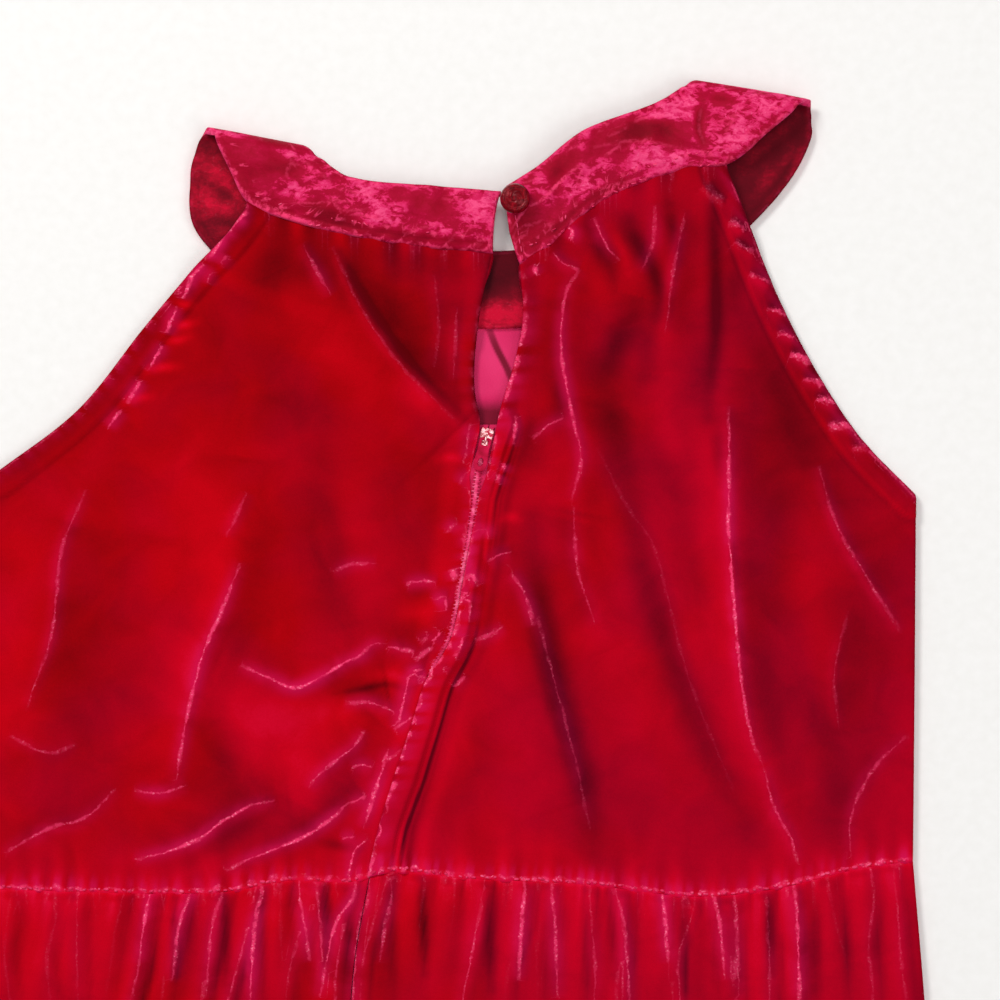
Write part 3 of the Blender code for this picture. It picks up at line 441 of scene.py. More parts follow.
def side_edge(armhole, waist_x):
    """Armhole and side seam, from the neck corner to the waist."""
    foot = (waist_x, float(waist_height(waist_x)) + SEAM / 2)
    side = flatten([armhole[-1], (0.4 * armhole[-1][0] + 0.6 * waist_x, 50.0), foot])
    return np.vstack([flatten(armhole)[:-1], side])


def coons(u, v, lines, by_height):
    """Points at shares u across and v up between four dense lines that meet at their ends."""
    bottom, top = lines["bottom"], lines["top"]
    low, high = along(bottom, u), along(top, u)
    west, east = along(lines["left"], v, by_height), along(lines["right"], v, by_height)
    u, v = u[:, None], v[:, None]
    corners = (1 - u) * ((1 - v) * bottom[0] + v * top[0]) + u * ((1 - v) * bottom[-1] + v * top[-1])
    return (1 - v) * low + v * high + (1 - u) * west + u * east - corners


def lift_over(x, y):
    """How much higher the back lies where the front neckband or the zip tape is under it."""
    neck = smoothstep(front_neck(x) - LIFT_REACH - 2, front_neck(x) - 2, y)
    from_zip = np.abs(measure(zip_curve(), x, y)[0])
    tape = 1 - smoothstep(ZIP_TAPE_WIDTH / 2 + 1, ZIP_TAPE_WIDTH / 2 + 1 + LIFT_REACH, from_zip)
    return LIFT_OVER_BAND * np.maximum(neck, tape)


def beside_tab(x, y):
    """0 at the pull tab and 1 away from it."""
    from_zip, share = measure(zip_curve(), x, y)
    down = smoothstep(0.13, 0.2, share)
    return np.maximum(smoothstep(2.0, TAB_CLEAR + 2.0, np.abs(from_zip)), down)


def placket_relief(x, y):
    """The smooth strip on the right of the zip, and the groove along its far side."""
    from_zip = np.abs(measure(zip_curve(), x, y)[0])
    width = at_height(PLACKET_WIDTH, y)
    on_strip = 1 - smoothstep(width - 2.5, width - 0.5, from_zip)
    groove = bell(from_zip - width - 1.0, PLACKET_GROOVE_WIDTH)
    return (PLACKET_RISE * on_strip - PLACKET_GROOVE * groove) * (1 - smoothstep(*PLACKET_END, y))


def bodice_height(folds, puff, opening, outside, seam):
    """The top face of a back bodice panel as a function of x, y and the shares u, v."""
    seam = seam[np.argsort(seam[:, 0])]

    def height(x, y, u, v):
        swell = puff * np.sin(math.pi * u) ** 0.7 * np.sin(math.pi * v) ** 0.7
        relief = swell + fold_relief(folds, x, y) * smoothstep(0, 0.06, v)
        if folds is FOLDS_RIGHT:
            relief += placket_relief(x, y)
        from_opening = np.abs(measure(flatten(opening), x, y)[0])
        above_zip = smoothstep(*OPENING_START, y)
        relief += OPENING_CURL * above_zip * (1 - smoothstep(0, CURL_REACH, from_opening))
        from_armhole = np.abs(measure(flatten(outside), x, y)[0])
        relief += HEM_RISE * (1 - smoothstep(ARMHOLE_HEM - 1, ARMHOLE_HEM + 1, from_armhole))
        lying = BACK_REST + lift_over(x, y) + np.maximum(relief, 0) * beside_tab(x, y)
        sewn = np.interp(x, seam[:, 0], seam[:, 2]) - (BAND - CLOTH) / 2
        near = 1 - smoothstep(0, NECK_SLOPE, np.interp(x, seam[:, 0], seam[:, 1]) - y)
        return lying + (sewn - lying) * near

    return height


def gathers(count, seed):
    """Evenly spaced gathers moved a little off their places, the same ones each time."""
    chance = np.random.default_rng(seed)
    found = []
    for k in range(count):
        share = (k + 0.5 + chance.uniform(-0.16, 0.16)) / count
        found.append(Gather(
            share, chance.uniform(0.26, 0.36) / count, GATHER_HEIGHT * chance.uniform(0.75, 1.25),
            GATHER_LENGTH * chance.uniform(0.6, 1.8), chance.uniform(-0.02, 0.02),
        ))
    return found


def leg_height(folds, count, seed):
    rows = gathers(count, seed)

    def height(x, y, u, v):
        down = np.maximum(waist_height(np.clip(x, SIDE_WAIST_LEFT, SIDE_WAIST_RIGHT)) - y, 0)
        relief = LEG_PUFF * np.sin(math.pi * u) ** 0.7 * np.sin(math.pi * v) ** 0.5
        for row in rows:
            spread = row.width * (1 + down / row.length)
            middle = row.share + row.lean * down / row.length
            fade = np.exp(-((down / row.length) ** 1.5))
            relief += row.height * fade * bell(u - middle, spread)
        relief += fold_relief(folds, x, y)
        return BACK_REST + lift_over(x, y) * smoothstep(ZIP_END - 20, ZIP_END, y) + np.maximum(relief, 0)

    return height


def crowd(shares, power):
    """Shares moved closer together: near 1 for a power above 1, and near 0 for one below -1."""
    shares = np.clip(shares, 0, 1)
    return shares**-power if power < 0 else 1 - (1 - shares) ** power


def back_outlines(side):
    """Outlines of a back bodice panel. side is -1 for the left back, 1 for the right."""
    centre = back_edge(side)
    if side < 0:
        outer = side_edge(ARMHOLE_LEFT, SIDE_WAIST_LEFT)
        top = seam_below(BAND_BACK_LEFT)
        outer[0] = top[0]
        bottom = waist_edge(SIDE_WAIST_LEFT, centre[-1, 0], SEAM / 2)
        return {"bottom": bottom, "top": top, "left": outer[::-1], "right": centre[::-1]}
    outer = side_edge(ARMHOLE_RIGHT, SIDE_WAIST_RIGHT)
    top = seam_below(BAND_BACK_RIGHT)
    outer[0] = top[-1]
    bottom = waist_edge(centre[-1, 0], SIDE_WAIST_RIGHT, SEAM / 2)
    return {"bottom": bottom, "top": top, "left": centre[::-1], "right": outer[::-1]}


def front_bodice_outlines():
    """The front bodice lies inside the back's outline, so that its armholes don't show past it."""
    top = seam_below(BAND_FRONT)[::-1]
    left_arm = [top[0], *(np.array(ARMHOLE_LEFT[3:]) + [FRONT_INSET, -FRONT_INSET])]
    right_arm = [top[-1], *(np.array(ARMHOLE_RIGHT[2:]) - [FRONT_INSET, FRONT_INSET])]
    left = side_edge(left_arm, SIDE_WAIST_LEFT + 1)
    right = side_edge(right_arm, SIDE_WAIST_RIGHT - 1)
    left[-1, 1] = front_waist(left[-1, 0]) + SEAM / 2
    right[-1, 1] = front_waist(right[-1, 0]) + SEAM / 2
    return {"bottom": np.array([left[-1], right[-1]]), "top": top, "left": left[::-1], "right": right[::-1]}


def leg_outlines(side, waist, inset=0.0):
    """Outlines of a trouser panel under a waist line, a function of x. side is -1 for the left leg.

    inset draws a front panel in from the back's outline.
    """
    hem = HEM_LEFT_LEG if side < 0 else HEM_RIGHT_LEG
    outer_x = (SIDE_WAIST_LEFT if side < 0 else SIDE_WAIST_RIGHT) - side * inset
    inner_x = CENTRE_WAIST + side * SEAM / 2
    outer_points = SIDE_LEFT_LEG if side < 0 else SIDE_RIGHT_LEG
    inseam = INSEAM_LEFT_LEG if side < 0 else INSEAM_RIGHT_LEG
    gap = np.array([side * SEAM / 2, 0.0])
    outer_top = (outer_x, float(waist(outer_x)) - SEAM / 2)
    outer = flatten([outer_top, *(np.array([*outer_points, (hem[0], LEG_END)]) - [side * inset, 0])])
    inner_top = (inner_x, float(waist(inner_x)) - SEAM / 2)
    middle = [np.array(point) + gap for point in CENTRE_SEAM]
    inner = np.vstack([flatten([inner_top, *middle])[:-1], flatten([middle[-1], *inseam, (hem[1], LEG_END)])])
    x = np.linspace(min(outer_x, inner_x), max(outer_x, inner_x), 60)
    top = np.stack([x, waist(x) - SEAM / 2], -1)
    low = np.array([outer[-1], inner[-1]])
    if side < 0:
        return {"bottom": low, "top": top, "left": outer[::-1], "right": inner[::-1]}
    return {"bottom": low[::-1], "top": top, "left": inner[::-1], "right": outer[::-1]}


def zip_frame():
    """Where the slider's eye stands, and the matrix that turns +Y up the zip there."""
    line = zip_curve()
    eye, below = along(line, [RING_SHARE, RING_SHARE + 0.04])
    angle = math.atan2(eye[0] - below[0], eye[1] - below[1])
    return Vector((*eye, 0.0)), Matrix.Rotation(-angle, 4, "Z")


def slider_levels():
    """Heights of the slider's foot, its top and the axis that the pull tab turns on."""
    foot = CLOTH + AIR + ZIP_TAPE_THICK + AIR
    top = foot + SLIDER_THICK
    return foot, top, top + RING_RADIUS - RING_THICK / 2 + 0.1


def button_foot():
    """Height of the neckband's face under the button, where its shank starts."""
    first, second = BAND_BACK_RIGHT[0], BAND_BACK_RIGHT[1]
    return max(first.top_z, second.top_z) + BAND_CROWN / 2 + AIR


# Looks: the tones of the velvet, its creases and its threads

Crease = namedtuple("Crease", "glow rise shade reach route fat", defaults=(1.0,))
Tone = namedtuple("Tone", "amount reach route")

# Thin creases where the pile is crushed: glow, rise, shade, reach and the route's points. glow is how bright
# the line is, the crushed pile with a painted highlight on it, rise how far it stands up, and shade how much
# painted shade lies on its left, seen along its route, within reach, with painted light on its right. A shade
# below 0 puts the painted shade on its right and the painted light on its left. fat is its width in thin
# creases.
CREASES_LEFT = table(
    Crease,
    (0.12, 0.9, 0.3, 4, -56, 213, -46, 192, -34, 174.5, -13, 153),
    (0.25, 0.5, 0.4, 5, -84, 131, -88, 122, -91, 116),
    (0.85, 0.8, 0.5, 6, -86, 108, -92, 92, -98, 78.5, -100.5, 70, -104, 56, -108, 34),
    (1, 0.9, -0.7, 8, -87, 73.5, -77, 69.5, -68, 66, -56.7, 71.1, -51.7, 74.4, -46, 76.9, -42.2, 80.2,
     -37.5, 80.4),
    (1, 0.9, 0.7, 9, -122, 8.5, -110, 11.5, -100, 15.7, -90, 23, -83, 26.5, -75, 28),
    (1, 0.9, 0.7, 8, -92, 4.5, -84, 8.5, -76.7, 11.5, -66, 16, -58, 21, -50, 28),
    (0.7, 0.6, -0.5, 5, -64, 32, -60.5, 36.5, -56.7, 40, -52.6, 43.3, -49.3, 45.7, -46.8, 49, -44.9, 51.8),
    (0.7, 0.5, 0.3, 4, -122, 31.5, -114, 30.6, -104, 33.5),
    (0.6, 0.5, 0.3, 4, -52, 60.5, -43.8, 60.8, -39.5, 59.4, -32.4, 56.4),
    (0.35, 0.4, 0.2, 4, -56, 104, -49, 107, -41, 107),
    (0.3, 0.5, 0.6, 7, -66, 214, -60, 203, -56, 196),
    (0.1, 0.2, 0.2, 5, -22, 204, -20.5, 186, -22, 172),
    (0.18, 0.3, 0.3, 2.5, -14.4, 193, -14.8, 184, -15.6, 168),
    (0.35, 0.6, 0.6, 8, -138, 132, -146, 112, -149, 84, -158, 58),
    (0.5, 0.6, 0.5, 8, -166, 10, -150, 19, -139, 22, -128, 32),
    (0.25, 0.5, -0.5, 6, -164, 50, -150, 44, -141, 47),
)
CREASES_RIGHT = table(
    Crease,
    (0.65, 0.9, -0.7, 8, 26.7, 205.3, 22.3, 198.3, 20.7, 190, 20.3, 177.3, 21.7, 168, 24, 156, 27, 141.3,
     23.7, 127.7),
    (0.35, 0.5, -0.9, 8, 24.5, 127, 25, 111.7, 25.7, 105, 28.3, 96.7, 31.7, 86.7),
    (0.9, 1, 0.7, 10, 75.7, 160, 76, 148.3, 75.7, 118.3, 76.7, 105, 78.3, 85, 80, 68.3, 83.3, 50, 87.3, 40),
    (0.55, 0.5, 0.5, 8, 87.3, 40, 91.7, 25, 97, 15.5, 99.5, 6.5),
    (0.3, 0.5, -0.4, 5, 51.5, 227, 50.8, 214, 46.7, 204),
    (0.45, 0.5, -0.6, 5, 31.2, 223, 33.6, 216.4, 35.8, 212.3, 39.5, 208),
    (0.6, 0.5, 0.5, 4, 17.6, 210.8, 21, 207.4, 26.4, 204.9),
    (0.25, 0.5, 0.5, 6, 61.7, 225, 57.3, 203, 55, 184),
    (0.22, 0.4, -0.3, 5, 2, 108, 5, 103, 12, 89.5, 16, 76, 20.5, 59, 25, 42, 30, 18),
    (0.08, 0.4, -0.3, 5, 32, 146, 43, 125, 50, 115, 63, 68, 78, 31),
    (0.35, 0.6, 0.6, 8, 106, 140, 113, 118, 125, 98, 134, 84),
    (0.4, 0.6, -0.5, 8, 136, 50, 124, 38, 117, 22, 117.5, 8),
    (0.15, 0.5, 0.4, 7, 116, 92, 111, 70, 113, 52),
)


def marks(glow, shade, reach, *routes, rise=0.5, fat=1.1):
    """Crushed marks that are all alike but for their routes, each the x and y of its points."""
    return tuple(Crease(glow, rise, shade, reach, paired(route), fat) for route in routes)


# The marks beside the zip on the left back, and on the strip and the cloth to its right. Each group starts
# with its glow, shade and reach.
ZIP_MARKS_LEFT = (
    *marks(
        1, 0.3, 2.2,
        (-7.8, 136.4, -7.6, 133.6, -7.8, 130.8), (-10.4, 125.6, -10.2, 121.6),
        (-11.3, 120.6, -11.4, 117, -11.6, 113.2), (-16, 105.4, -15, 101.5), (-18.4, 95.8, -18.2, 91),
        (-19.8, 85, -22.4, 80.4),
        fat=1.7,
    ),
    *marks(
        1, 0.3, 2.2,
        (-25.5, 71.6, -30.4, 69.2, -30.9, 67, -31.7, 63.8, -32.9, 58, -34.6, 51.8),
        (-36.6, 45.6, -38, 42.4, -40.3, 35, -42.3, 29.5, -43.6, 25, -45.9, 18.8),
        (-43.6, 15.8, -47.8, 12, -49.7, 7, -50.8, 1.2),
    ),
    *marks(
        0.7, 0.45, 3,
        (-17.3, 117.4, -16.2, 119.6, -13.8, 121), (-13.6, 133.4, -12, 136.2, -10.2, 138.2),
        (-12.2, 140.2, -11, 146, -10, 154), (-31.8, 99.6, -28, 101.1, -20.8, 101),
        (-22.4, 94.6, -19.3, 96.2, -17.4, 96.2), (-28.4, 74.6, -25.6, 77, -21.8, 79.4),
        (-27, 80.6, -22.6, 83.4), (-37.6, 79.6, -32.2, 78.6, -28.2, 77.4),
        (-50, 39.2, -46, 39.9, -42.2, 39.2), (-50.4, 27.4, -44.4, 29.4), (-53.2, 15.2, -48.2, 16.1),
        (-39, 40.8, -32.4, 45.4), (-35.6, 51.4, -29, 56.6), (-30.4, 70, -28.6, 71.6, -25.4, 71.8),
        (-28.6, 70.8, -26, 69.2, -24.2, 68.6), (-29.6, 72.4, -27.6, 70, -27, 66.6),
    ),
)
ZIP_MARKS_RIGHT = (
    *marks(
        0.95, 0.25, 2.2,
        (-9.5, 114.8, -9, 117.3, -6.7, 118.1, -4.6, 118.3, -4, 115.2),
        (-11.6, 102.8, -9.4, 103.5, -8, 101.8, -7.1, 99.5),
        (-9.7, 114.3, -10.7, 111, -12, 106.3, -12.3, 102.3),
        (-13.7, 93, -12.8, 95.1, -10.4, 94.8, -10, 91.8, -10.4, 87.6), (-13.4, 97.6, -10.6, 96.9),
        (-12.4, 84, -12.9, 80.2, -15.3, 75.4), (-18.4, 73.2, -19.2, 71.2),
        (-5.2, 137.6, -6, 133.6, -7.2, 128.6), (-8, 124.2, -8.6, 119.6),
        (5, 156.6, 4.9, 151.4, 4.5, 146.2), (22.6, 219.4, 24.4, 217.6, 23, 214.6),
        (11.4, 206.8, 12.3, 203.2), (1.6, 140.8, 0.8, 137.8), (-0.1, 137, -1.3, 133.8),
    ),
    *marks(
        0.5, 0.4, 3,
        (10.6, 148.4, 16, 153, 21.4, 155.9), (-4.4, 107.2, -0.7, 110, 3.8, 111),
        (3.8, 104.2, 6.9, 99.8, 9.4, 93.6, 10.9, 86.2), (-16, 65.8, -10.8, 69.6),
        (-8.6, 81.7, -3.4, 83.4, 1.2, 86.6),
    ),
)
# The line along the left armhole's hem, and the wrinkles across the right one's, with a glow for each
HEM_MARKS_LEFT = (
    *marks(
        1, 0.5, 3,
        (-83.8, 224.6, -86.6, 221.8, -89.6, 218.3), (-89.4, 218.6, -92.9, 215.5, -95, 211.3, -97, 208.6),
        (-98, 207, -102.6, 203, -104.7, 198.1, -106.2, 195), (-107.4, 192.6, -109.6, 188.4, -111.6, 183.6),
        (-112.6, 180.6, -114.6, 176.8, -117.6, 171.4), (-119.6, 168.4, -124.4, 160.6),
        (-126.4, 158.2, -131, 152.6),
    ),
    *marks(
        0.45, 0.5, 3,
        (-90.8, 210, -93.4, 206.6), (-94.8, 204.8, -96.4, 203.7, -97.7, 200.2),
    ),
)
HEM_MARKS_RIGHT = tuple(mark for glow, *route in (
    (0.15, 68, 233, 71, 229.6, 75, 227.6), (0.45, 76, 220.9, 79, 219.9, 81.9, 217.5),
    (0.4, 77.7, 214.5, 81.5, 212, 85.3, 210.7), (0.5, 82.8, 203.5, 86.2, 202.6, 90.4, 200.1),
    (0.6, 88.7, 191.7, 92, 191.9, 95.5, 190.8), (0.75, 92.1, 184, 95.2, 183.9, 98.9, 182.3),
    (0.85, 96.3, 177.2, 100, 176.2, 104, 173.8), (0.7, 100.6, 168.7, 104.6, 168.2, 109, 166.2),
    (0.8, 104.8, 161.9, 108.5, 161.6, 112.9, 159.8), (0.75, 109, 152.6, 113.5, 153.6, 118.4, 152.6),
    (0.5, 117, 145.4, 122, 146.6, 127, 145.4), (0.4, 128, 139.6, 132, 141.6, 137, 141.2),
) for mark in marks(glow, 1.7, 3, route, rise=1, fat=2.6))
CREASES_LEG_LEFT = table(
    Crease,
    (0.6, 0.8, 0.7, 9, -120, -60, -127, -96, -124, -140),
    (0.5, 0.8, -0.7, 10, -92, -70, -80, -110, -66, -160, -58, -196),
    (0.7, 0.9, 0.8, 9, -48, -180, -62, -210, -86, -230, -112, -238),
    (0.5, 0.8, 0.7, 10, -176, -120, -170, -180, -176, -236),
    (0.6, 0.8, -0.7, 9, -150, -270, -140, -320, -144, -372),
    (0.5, 0.7, 0.7, 8, -96, -296, -104, -344, -98, -400),
    (0.5, 0.7, 0.6, 8, -178, -330, -160, -352, -136, -360),
)
CREASES_LEG_RIGHT = table(
    Crease,
    (0.6, 0.8, -0.7, 10, 6, -58, 2, -100, -8, -150),
    (0.7, 0.9, -0.8, 9, -22, -190, 2, -214, 30, -226, 52, -228),
    (0.5, 0.8, 0.7, 10, 58, -66, 64, -112, 56, -164),
    (0.6, 0.8, -0.7, 9, 114, -90, 106, -150, 112, -210),
    (0.5, 0.8, 0.7, 9, 72, -262, 80, -318, 74, -380),
    (0.6, 0.7, 0.6, 8, 22, -284, 28, -330, 18, -392),
    (0.5, 0.7, -0.6, 8, 120, -322, 102, -340, 80, -344),
)

# Broad soft tones: partly the pile's nap and partly painted light and shade over the folds and valleys. The
# amount is bright above 0 and dark below, then the reach and the route
TONES_LEFT = table(
    Tone,
    (1.6, 1.5, -108.5, 194.5, -105.5, 193.6, -102.4, 193.4),
    (1.9, 1.6, -110.5, 187.4, -106, 186.8, -101.4, 187.6),
    (1.5, 1.4, -111.4, 181.4, -107.4, 181.6, -103.8, 182.8),
    (1.9, 1.7, -118, 171.5, -113, 172.6, -107.4, 172.8),
    (1.5, 1.6, -126, 160.6, -121, 162.4, -116, 162.8),
    (-0.2, 8, -50, 206, -35, 187, -21, 169, -12, 160),
    (-0.7, 24, -118, 168, -84, 182, -58, 196),
    (-0.6, 12, -88, 156, -64, 160, -42, 164),
    (-0.7, 6, -42, 209, -28, 208, -14, 205),
    (1.1, 4, -33, 167, -26.7, 161.7, -21, 156.5),
    (-1.2, 1.4, -53, 211, -43, 193, -31, 176, -11, 155),
    (-0.7, 13, -38, 212, -26, 194, -16, 174),
    (0.6, 9, -68, 192, -48, 170, -26, 148),
    (-0.9, 6.5, -60, 154, -57, 120, -52, 82),
    (-0.4, 14, -40, 152, -29, 130, -30, 102),
    (1.1, 13, -102, 64, -76, 54, -52, 60),
    (0.7, 7, -86, 122, -92, 100, -101, 74, -108, 46),
    (-0.8, 4.5, -97, 52, -92, 42, -88, 32),
    (-0.8, 3.2, -56, 67, -45, 65.5, -35, 61),
    (-1.1, 4.2, -76, 27, -88, 19, -103, 9),
    (-0.7, 4.5, -48, 36, -58, 24, -72, 12),
    (0.5, 11, -58, 44, -66, 36, -78, 34),
    (0.5, 14, -116, 152, -106, 132, -110, 100),
    (-1.1, 9, -84, 214, -74, 206, -60, 206),
    (-0.6, 14, -136, 112, -142, 70, -132, 40),
    (0.6, 12, -158, 110, -166, 70, -164, 34),
    (0.8, 5, -13, 148, -15, 120, -19, 100, -22.5, 84),
    (0.9, 3.8, -22, 78, -28.5, 66, -31.5, 55, -35.5, 43, -40, 28, -45, 10, -48, 0),
    (1.1, 2, -43, 69.6, -36, 70.2, -31.5, 68.6),
    (-1.3, 1.1, -55, 63.8, -45, 65.6, -37, 66.9, -31, 65),
    (1.3, 1.6, -20.5, 141.8, -16.5, 142.6, -12, 141.6),
    (0.8, 4, -63, 58, -54, 58.5, -47, 55),
    (-1, 1.8, -61, 15, -54, 13, -47, 12),
    (0.7, 3, -37, 90.4, -29, 90.3, -20, 91),
    (-0.8, 2.6, -33, 96.5, -27, 97.5, -20, 98),
)
TONES_RIGHT = table(
    Tone,
    (-1.5, 4.6, 10, 122, 12.5, 108, 15.7, 82, 20, 64, 24.7, 46, 30, 24.6, 31, 8),
    (-0.5, 9, 26, 46, 31, 26, 34, 6),
    (-1.2, 5.5, 38, 226, 49, 205, 46, 190, 36, 173, 39, 150, 44, 126),
    (-1.6, 6, 38, 154, 44.5, 118, 52, 92, 60.7, 67.8, 69, 49, 76.9, 31.8, 84, 16),
    (-1.9, 2.8, 68, 246, 70.5, 230, 71.8, 205, 71.8, 182, 69, 156),
    (-1.6, 9, 82, 190, 92, 168, 101, 150, 110, 130),
    (-0.4, 7, 79, 166, 80, 150, 84, 132),
    (-0.5, 13, 100, 124, 105, 80, 111, 36),
    (-0.8, 7, 92, 152, 93, 120, 91, 94),
    (-0.9, 11, 6, 200, 14, 180, 18, 158),
    (-0.5, 9, 24, 214, 40, 214, 56, 222),
    (-0.9, 6, 30, 198, 38, 186, 36, 174),
    (0.5, 4, 52, 164, 56, 150, 60, 138),
    (-1.7, 2.8, 43, 222, 46.7, 211.7, 50.7, 205, 53, 195, 50, 182),
    (1.4, 2.2, 37, 219, 40.3, 211.7, 42.5, 204),
    (-1.2, 2.8, 29, 221, 33, 211.7, 36.5, 204, 38.5, 194),
    (-1.4, 2.6, 56, 226, 57.5, 217, 59, 208),
    (-1.2, 5.5, 66, 184, 66.5, 170, 63.5, 156),
    (-1, 4, 47, 184, 49, 174, 47, 164),
    (-1.1, 3.5, 78, 213, 78.8, 204, 77.5, 193),
    (-1.2, 3, 17, 169, 20, 161.5, 19, 153),
    (-1.1, 2.6, 72, 154, 72.5, 145, 73, 134),
    (0.4, 8, 33, 104, 40, 72, 48, 38),
    (-0.5, 8, -2, 66, -7, 44, -15, 18),
    (0.8, 3.2, -9, 74, -13.5, 60, -18, 44, -22.5, 30, -27, 12, -29, 2),
    (-0.6, 5, 9, 158, 10, 146, 7, 134),
    (1.3, 1.7, 0.2, 121.4, 3.2, 122.6, 6.8, 121.6),
    (0.8, 4.5, 76.5, 150, 77, 110, 80, 70, 88, 40, 98, 12),
    (-0.7, 6, 102, 66, 110, 42, 113, 16),
    (-0.6, 12, 118, 116, 121, 74, 118, 40),
    (0.5, 7, 104, 116, 104, 92, 108, 70),
    (0.7, 3.4, -1, 152, -3, 132, -6, 112, -9.5, 95, -13.5, 80, -20.5, 64, -27, 46, -36, 16, -40, -2),
)

STITCH = 2.5  # one visible stitch of thread
STITCH_GAP = 0.75  # and the gap after it
STITCH_LIFT = 0.1  # how high its middle lies over the cloth
THREAD = 0.21  # its radius
STITCH_ROW = 3.0  # from the neckband's edge to its row of stitches
LEG_HEM = 18.0
LAP = 0.8  # how far the right back's edge laps over the left's below the crumpled part of the zip
LIT_FROM = (-0.75, -0.66)  # slopes that face this way are painted lighter and those facing away darker: painted light and shade that stands for the pile's sheen
# how strong that painted light and shade by slope is
LEAN_SHADING = 1.1
FINE = 1.0
BACK_CELL = 1.05  # spacing of the grid on the back panels, and then on the others
LEG_CELL = 1.5
FRONT_CELL = 1.3
HIDDEN_CELL = 5.0  # the front of the legs, which nothing shows of
BAND_CELL = 1.1
BAND_ROWS = 26
ZIP_SIDE_POWER = 1.25  # how much closer the grid is near the zip
LEG_TOP_POWER = 1.35  # and near the gathers
FRONT_TOP_POWER = 1.3
TUCK = 0.7  # how far a panel's edge runs on past its seam, under its neighbour, so that no gap shows
CRUMPLED_FROM = (64.0, 68.0)  # the bright line along the zip is broader and stronger between these
CRUMPLED_TO = (95.0, 100.0)
BESIDE_SLIDER = (134.0, 139.0)  # both edges are painted lighter, against the shade of the gap, and lie lower above these, beside the slider
SPARKLE_ENDS = (190.0, 197.0)  # the opening's edge glitters below these heights
ARMHOLE_NEAR = 14.0  # the distance to an armhole is worked out this far from it
OPENING_NEAR = 8.0  # and the distance to the opening's edge
RUFFLE_WAVE = 6.5  # from one ruffle to the next above the waist seam
PUCKER_WAVE = 7.0  # and from one pucker to the next under the neckband
CRUSHED_BELOW = (66.0, 76.0)  # the zip is crumpled and the right back laps over it below these heights

# How much painted shade lies in the groove beside the zip's strip, after its height
GROOVE_SHADE = (
    (158.0, 1.4), (146.0, 1.8), (134.0, 2.6), (122.0, 1.5), (112.0, 0.9), (89.0, 1.2), (80.0, 3.2),
    (16.0, 3.8), (2.0, 1.8),
)
REVERSE_FOLD = ((-4.5, 188.0), (-1.5, 180.0), (2.5, 172.0), (5.5, 164.0))  # on the front's wrong side

# The zip below the slider
COIL_LIFT = 1.3  # the coil is pushed up between the panels
COIL_FROM = (137.0, 142.0)  # below these heights
COIL_TO = (64.0, 71.0)  # and lies under the panels' lap again below these
TAPE_LIFT = 1.1  # the tape comes up with it, and under the pull tab too
TAPE_FROM = (141.2, 142.8)
COIL_PITCH = 0.62  # from one tooth to the next
COIL_CORE = 0.70  # radius of the cord that the coil is wound round
COIL_WIRE = 0.30  # and of the wire that makes the teeth
COIL_STRAY = 0.12  # how far a tooth may stand off its place
TEETH_OPEN = 14  # how many teeth show on each side above the slider
OPEN_PITCH = 0.72
OPEN_WIRE = 0.27
SLIDER_PLATE = 0.55  # thickness of its upper plate
FLANGE_WIRE = 0.36  # radii of the slider's rounded parts
RIDGE_WIRE = 0.14
WEDGE_WIRE = 0.5
BRIDGE_WIRE = 0.34
PULL_ROUNDING = 0.2  # of the tab's edges
SWIRL_ARMS = 3  # the cast swirl on the button's middle, with its height, its turn and where it lies
SWIRL_RISE = 0.16
SWIRL_TURN = 3.4
SWIRL_RING = (1.5, 0.95)  # radius and spread
BEADS = 24  # and the fine beads on its rim
BEAD_RISE = 0.05
BEAD_RING = (3.75, 0.4)
LOOP_STRAND = 0.30  # radius of one of the loop's two strands
LOOP_STRAND_OUT = 0.24  # how far it runs from the cord's middle
LOOP_TWISTS = 9

# Camera, lights and floor, in metres and watts
CAMERA_HEIGHT = 0.95
CAMERA_Y = 0.1283
CLOTH_LEVEL = 0.005  # the height that the picture's scale holds at
FRAME_WIDTH = 0.3333
SENSOR = 36.0
LIGHT_AIM = (0.0, 0.1, 0.0)
# name, place, diameter, power and colour
LIGHTS = (
    ("key", (-0.75, 0.95, 1.15), 0.55, 13.0, (1.0, 0.985, 0.96)),
    ("fill", (0.95, -0.25, 1.1), 0.9, 5.0, (1.0, 1.0, 1.0)),
    ("top", (0.1, 0.2, 1.7), 0.8, 7.0, (1.0, 1.0, 1.0)),
)
WORLD_STRENGTH = 0.35
FLOOR_REACH = 3.0
FLOOR_DROP = 0.0002  # it lies this far below the cloth, so that the two don't flicker


def spread(line, step):
    """Points at even steps along a dense line."""
    size = run_length(line)
    return along(line, np.arange(step / 2, size, step) / size)


def near_route(route, x, y, reach):
    """The points of a grid that lie within reach of a route's box."""
    low, high = np.min(route, axis=0) - reach, np.max(route, axis=0) + reach
    return (x > low[0]) & (x < high[0]) & (y > low[1]) & (y < high[1])


class Lines:
    """The crushed lines of a cloth: the distance to the strongest one, its glow, which is the crushed pile
    with a painted highlight, and a soft halo of painted sheen.
    """

    def __init__(self, shape):
        self.away, self.glow = np.full(shape, 9.0), np.zeros(shape)
        self.rank, self.halo = np.zeros(shape), np.zeros(shape)

    def add(self, away, strength, where=..., fat=1.0):
        score = strength * bell(away, 2.0)
        # where two lines meet, both distances keep the same sign, so that none is drawn between them
        opposed = np.minimum(score, self.rank[where]) * np.sign(away) * np.sign(self.away[where])
        away = -away if opposed.sum() < 0 else away
        better = score > self.rank[where]
        near = strength * (1 - smoothstep(1.2, 2.2, np.abs(away)))
        self.away[where] = np.where(better, away, self.away[where])
        self.glow[where] = np.where(better, near, self.glow[where])
        self.rank[where] = np.maximum(self.rank[where], score)
        self.halo[where] += strength / fat * bell(away * fat, 2.4)

    def fields(self, tone):
        halo = np.clip(self.halo, 0, 1)
        return {"tone": tone, "crease": self.away, "glow": self.glow, "halo": halo}


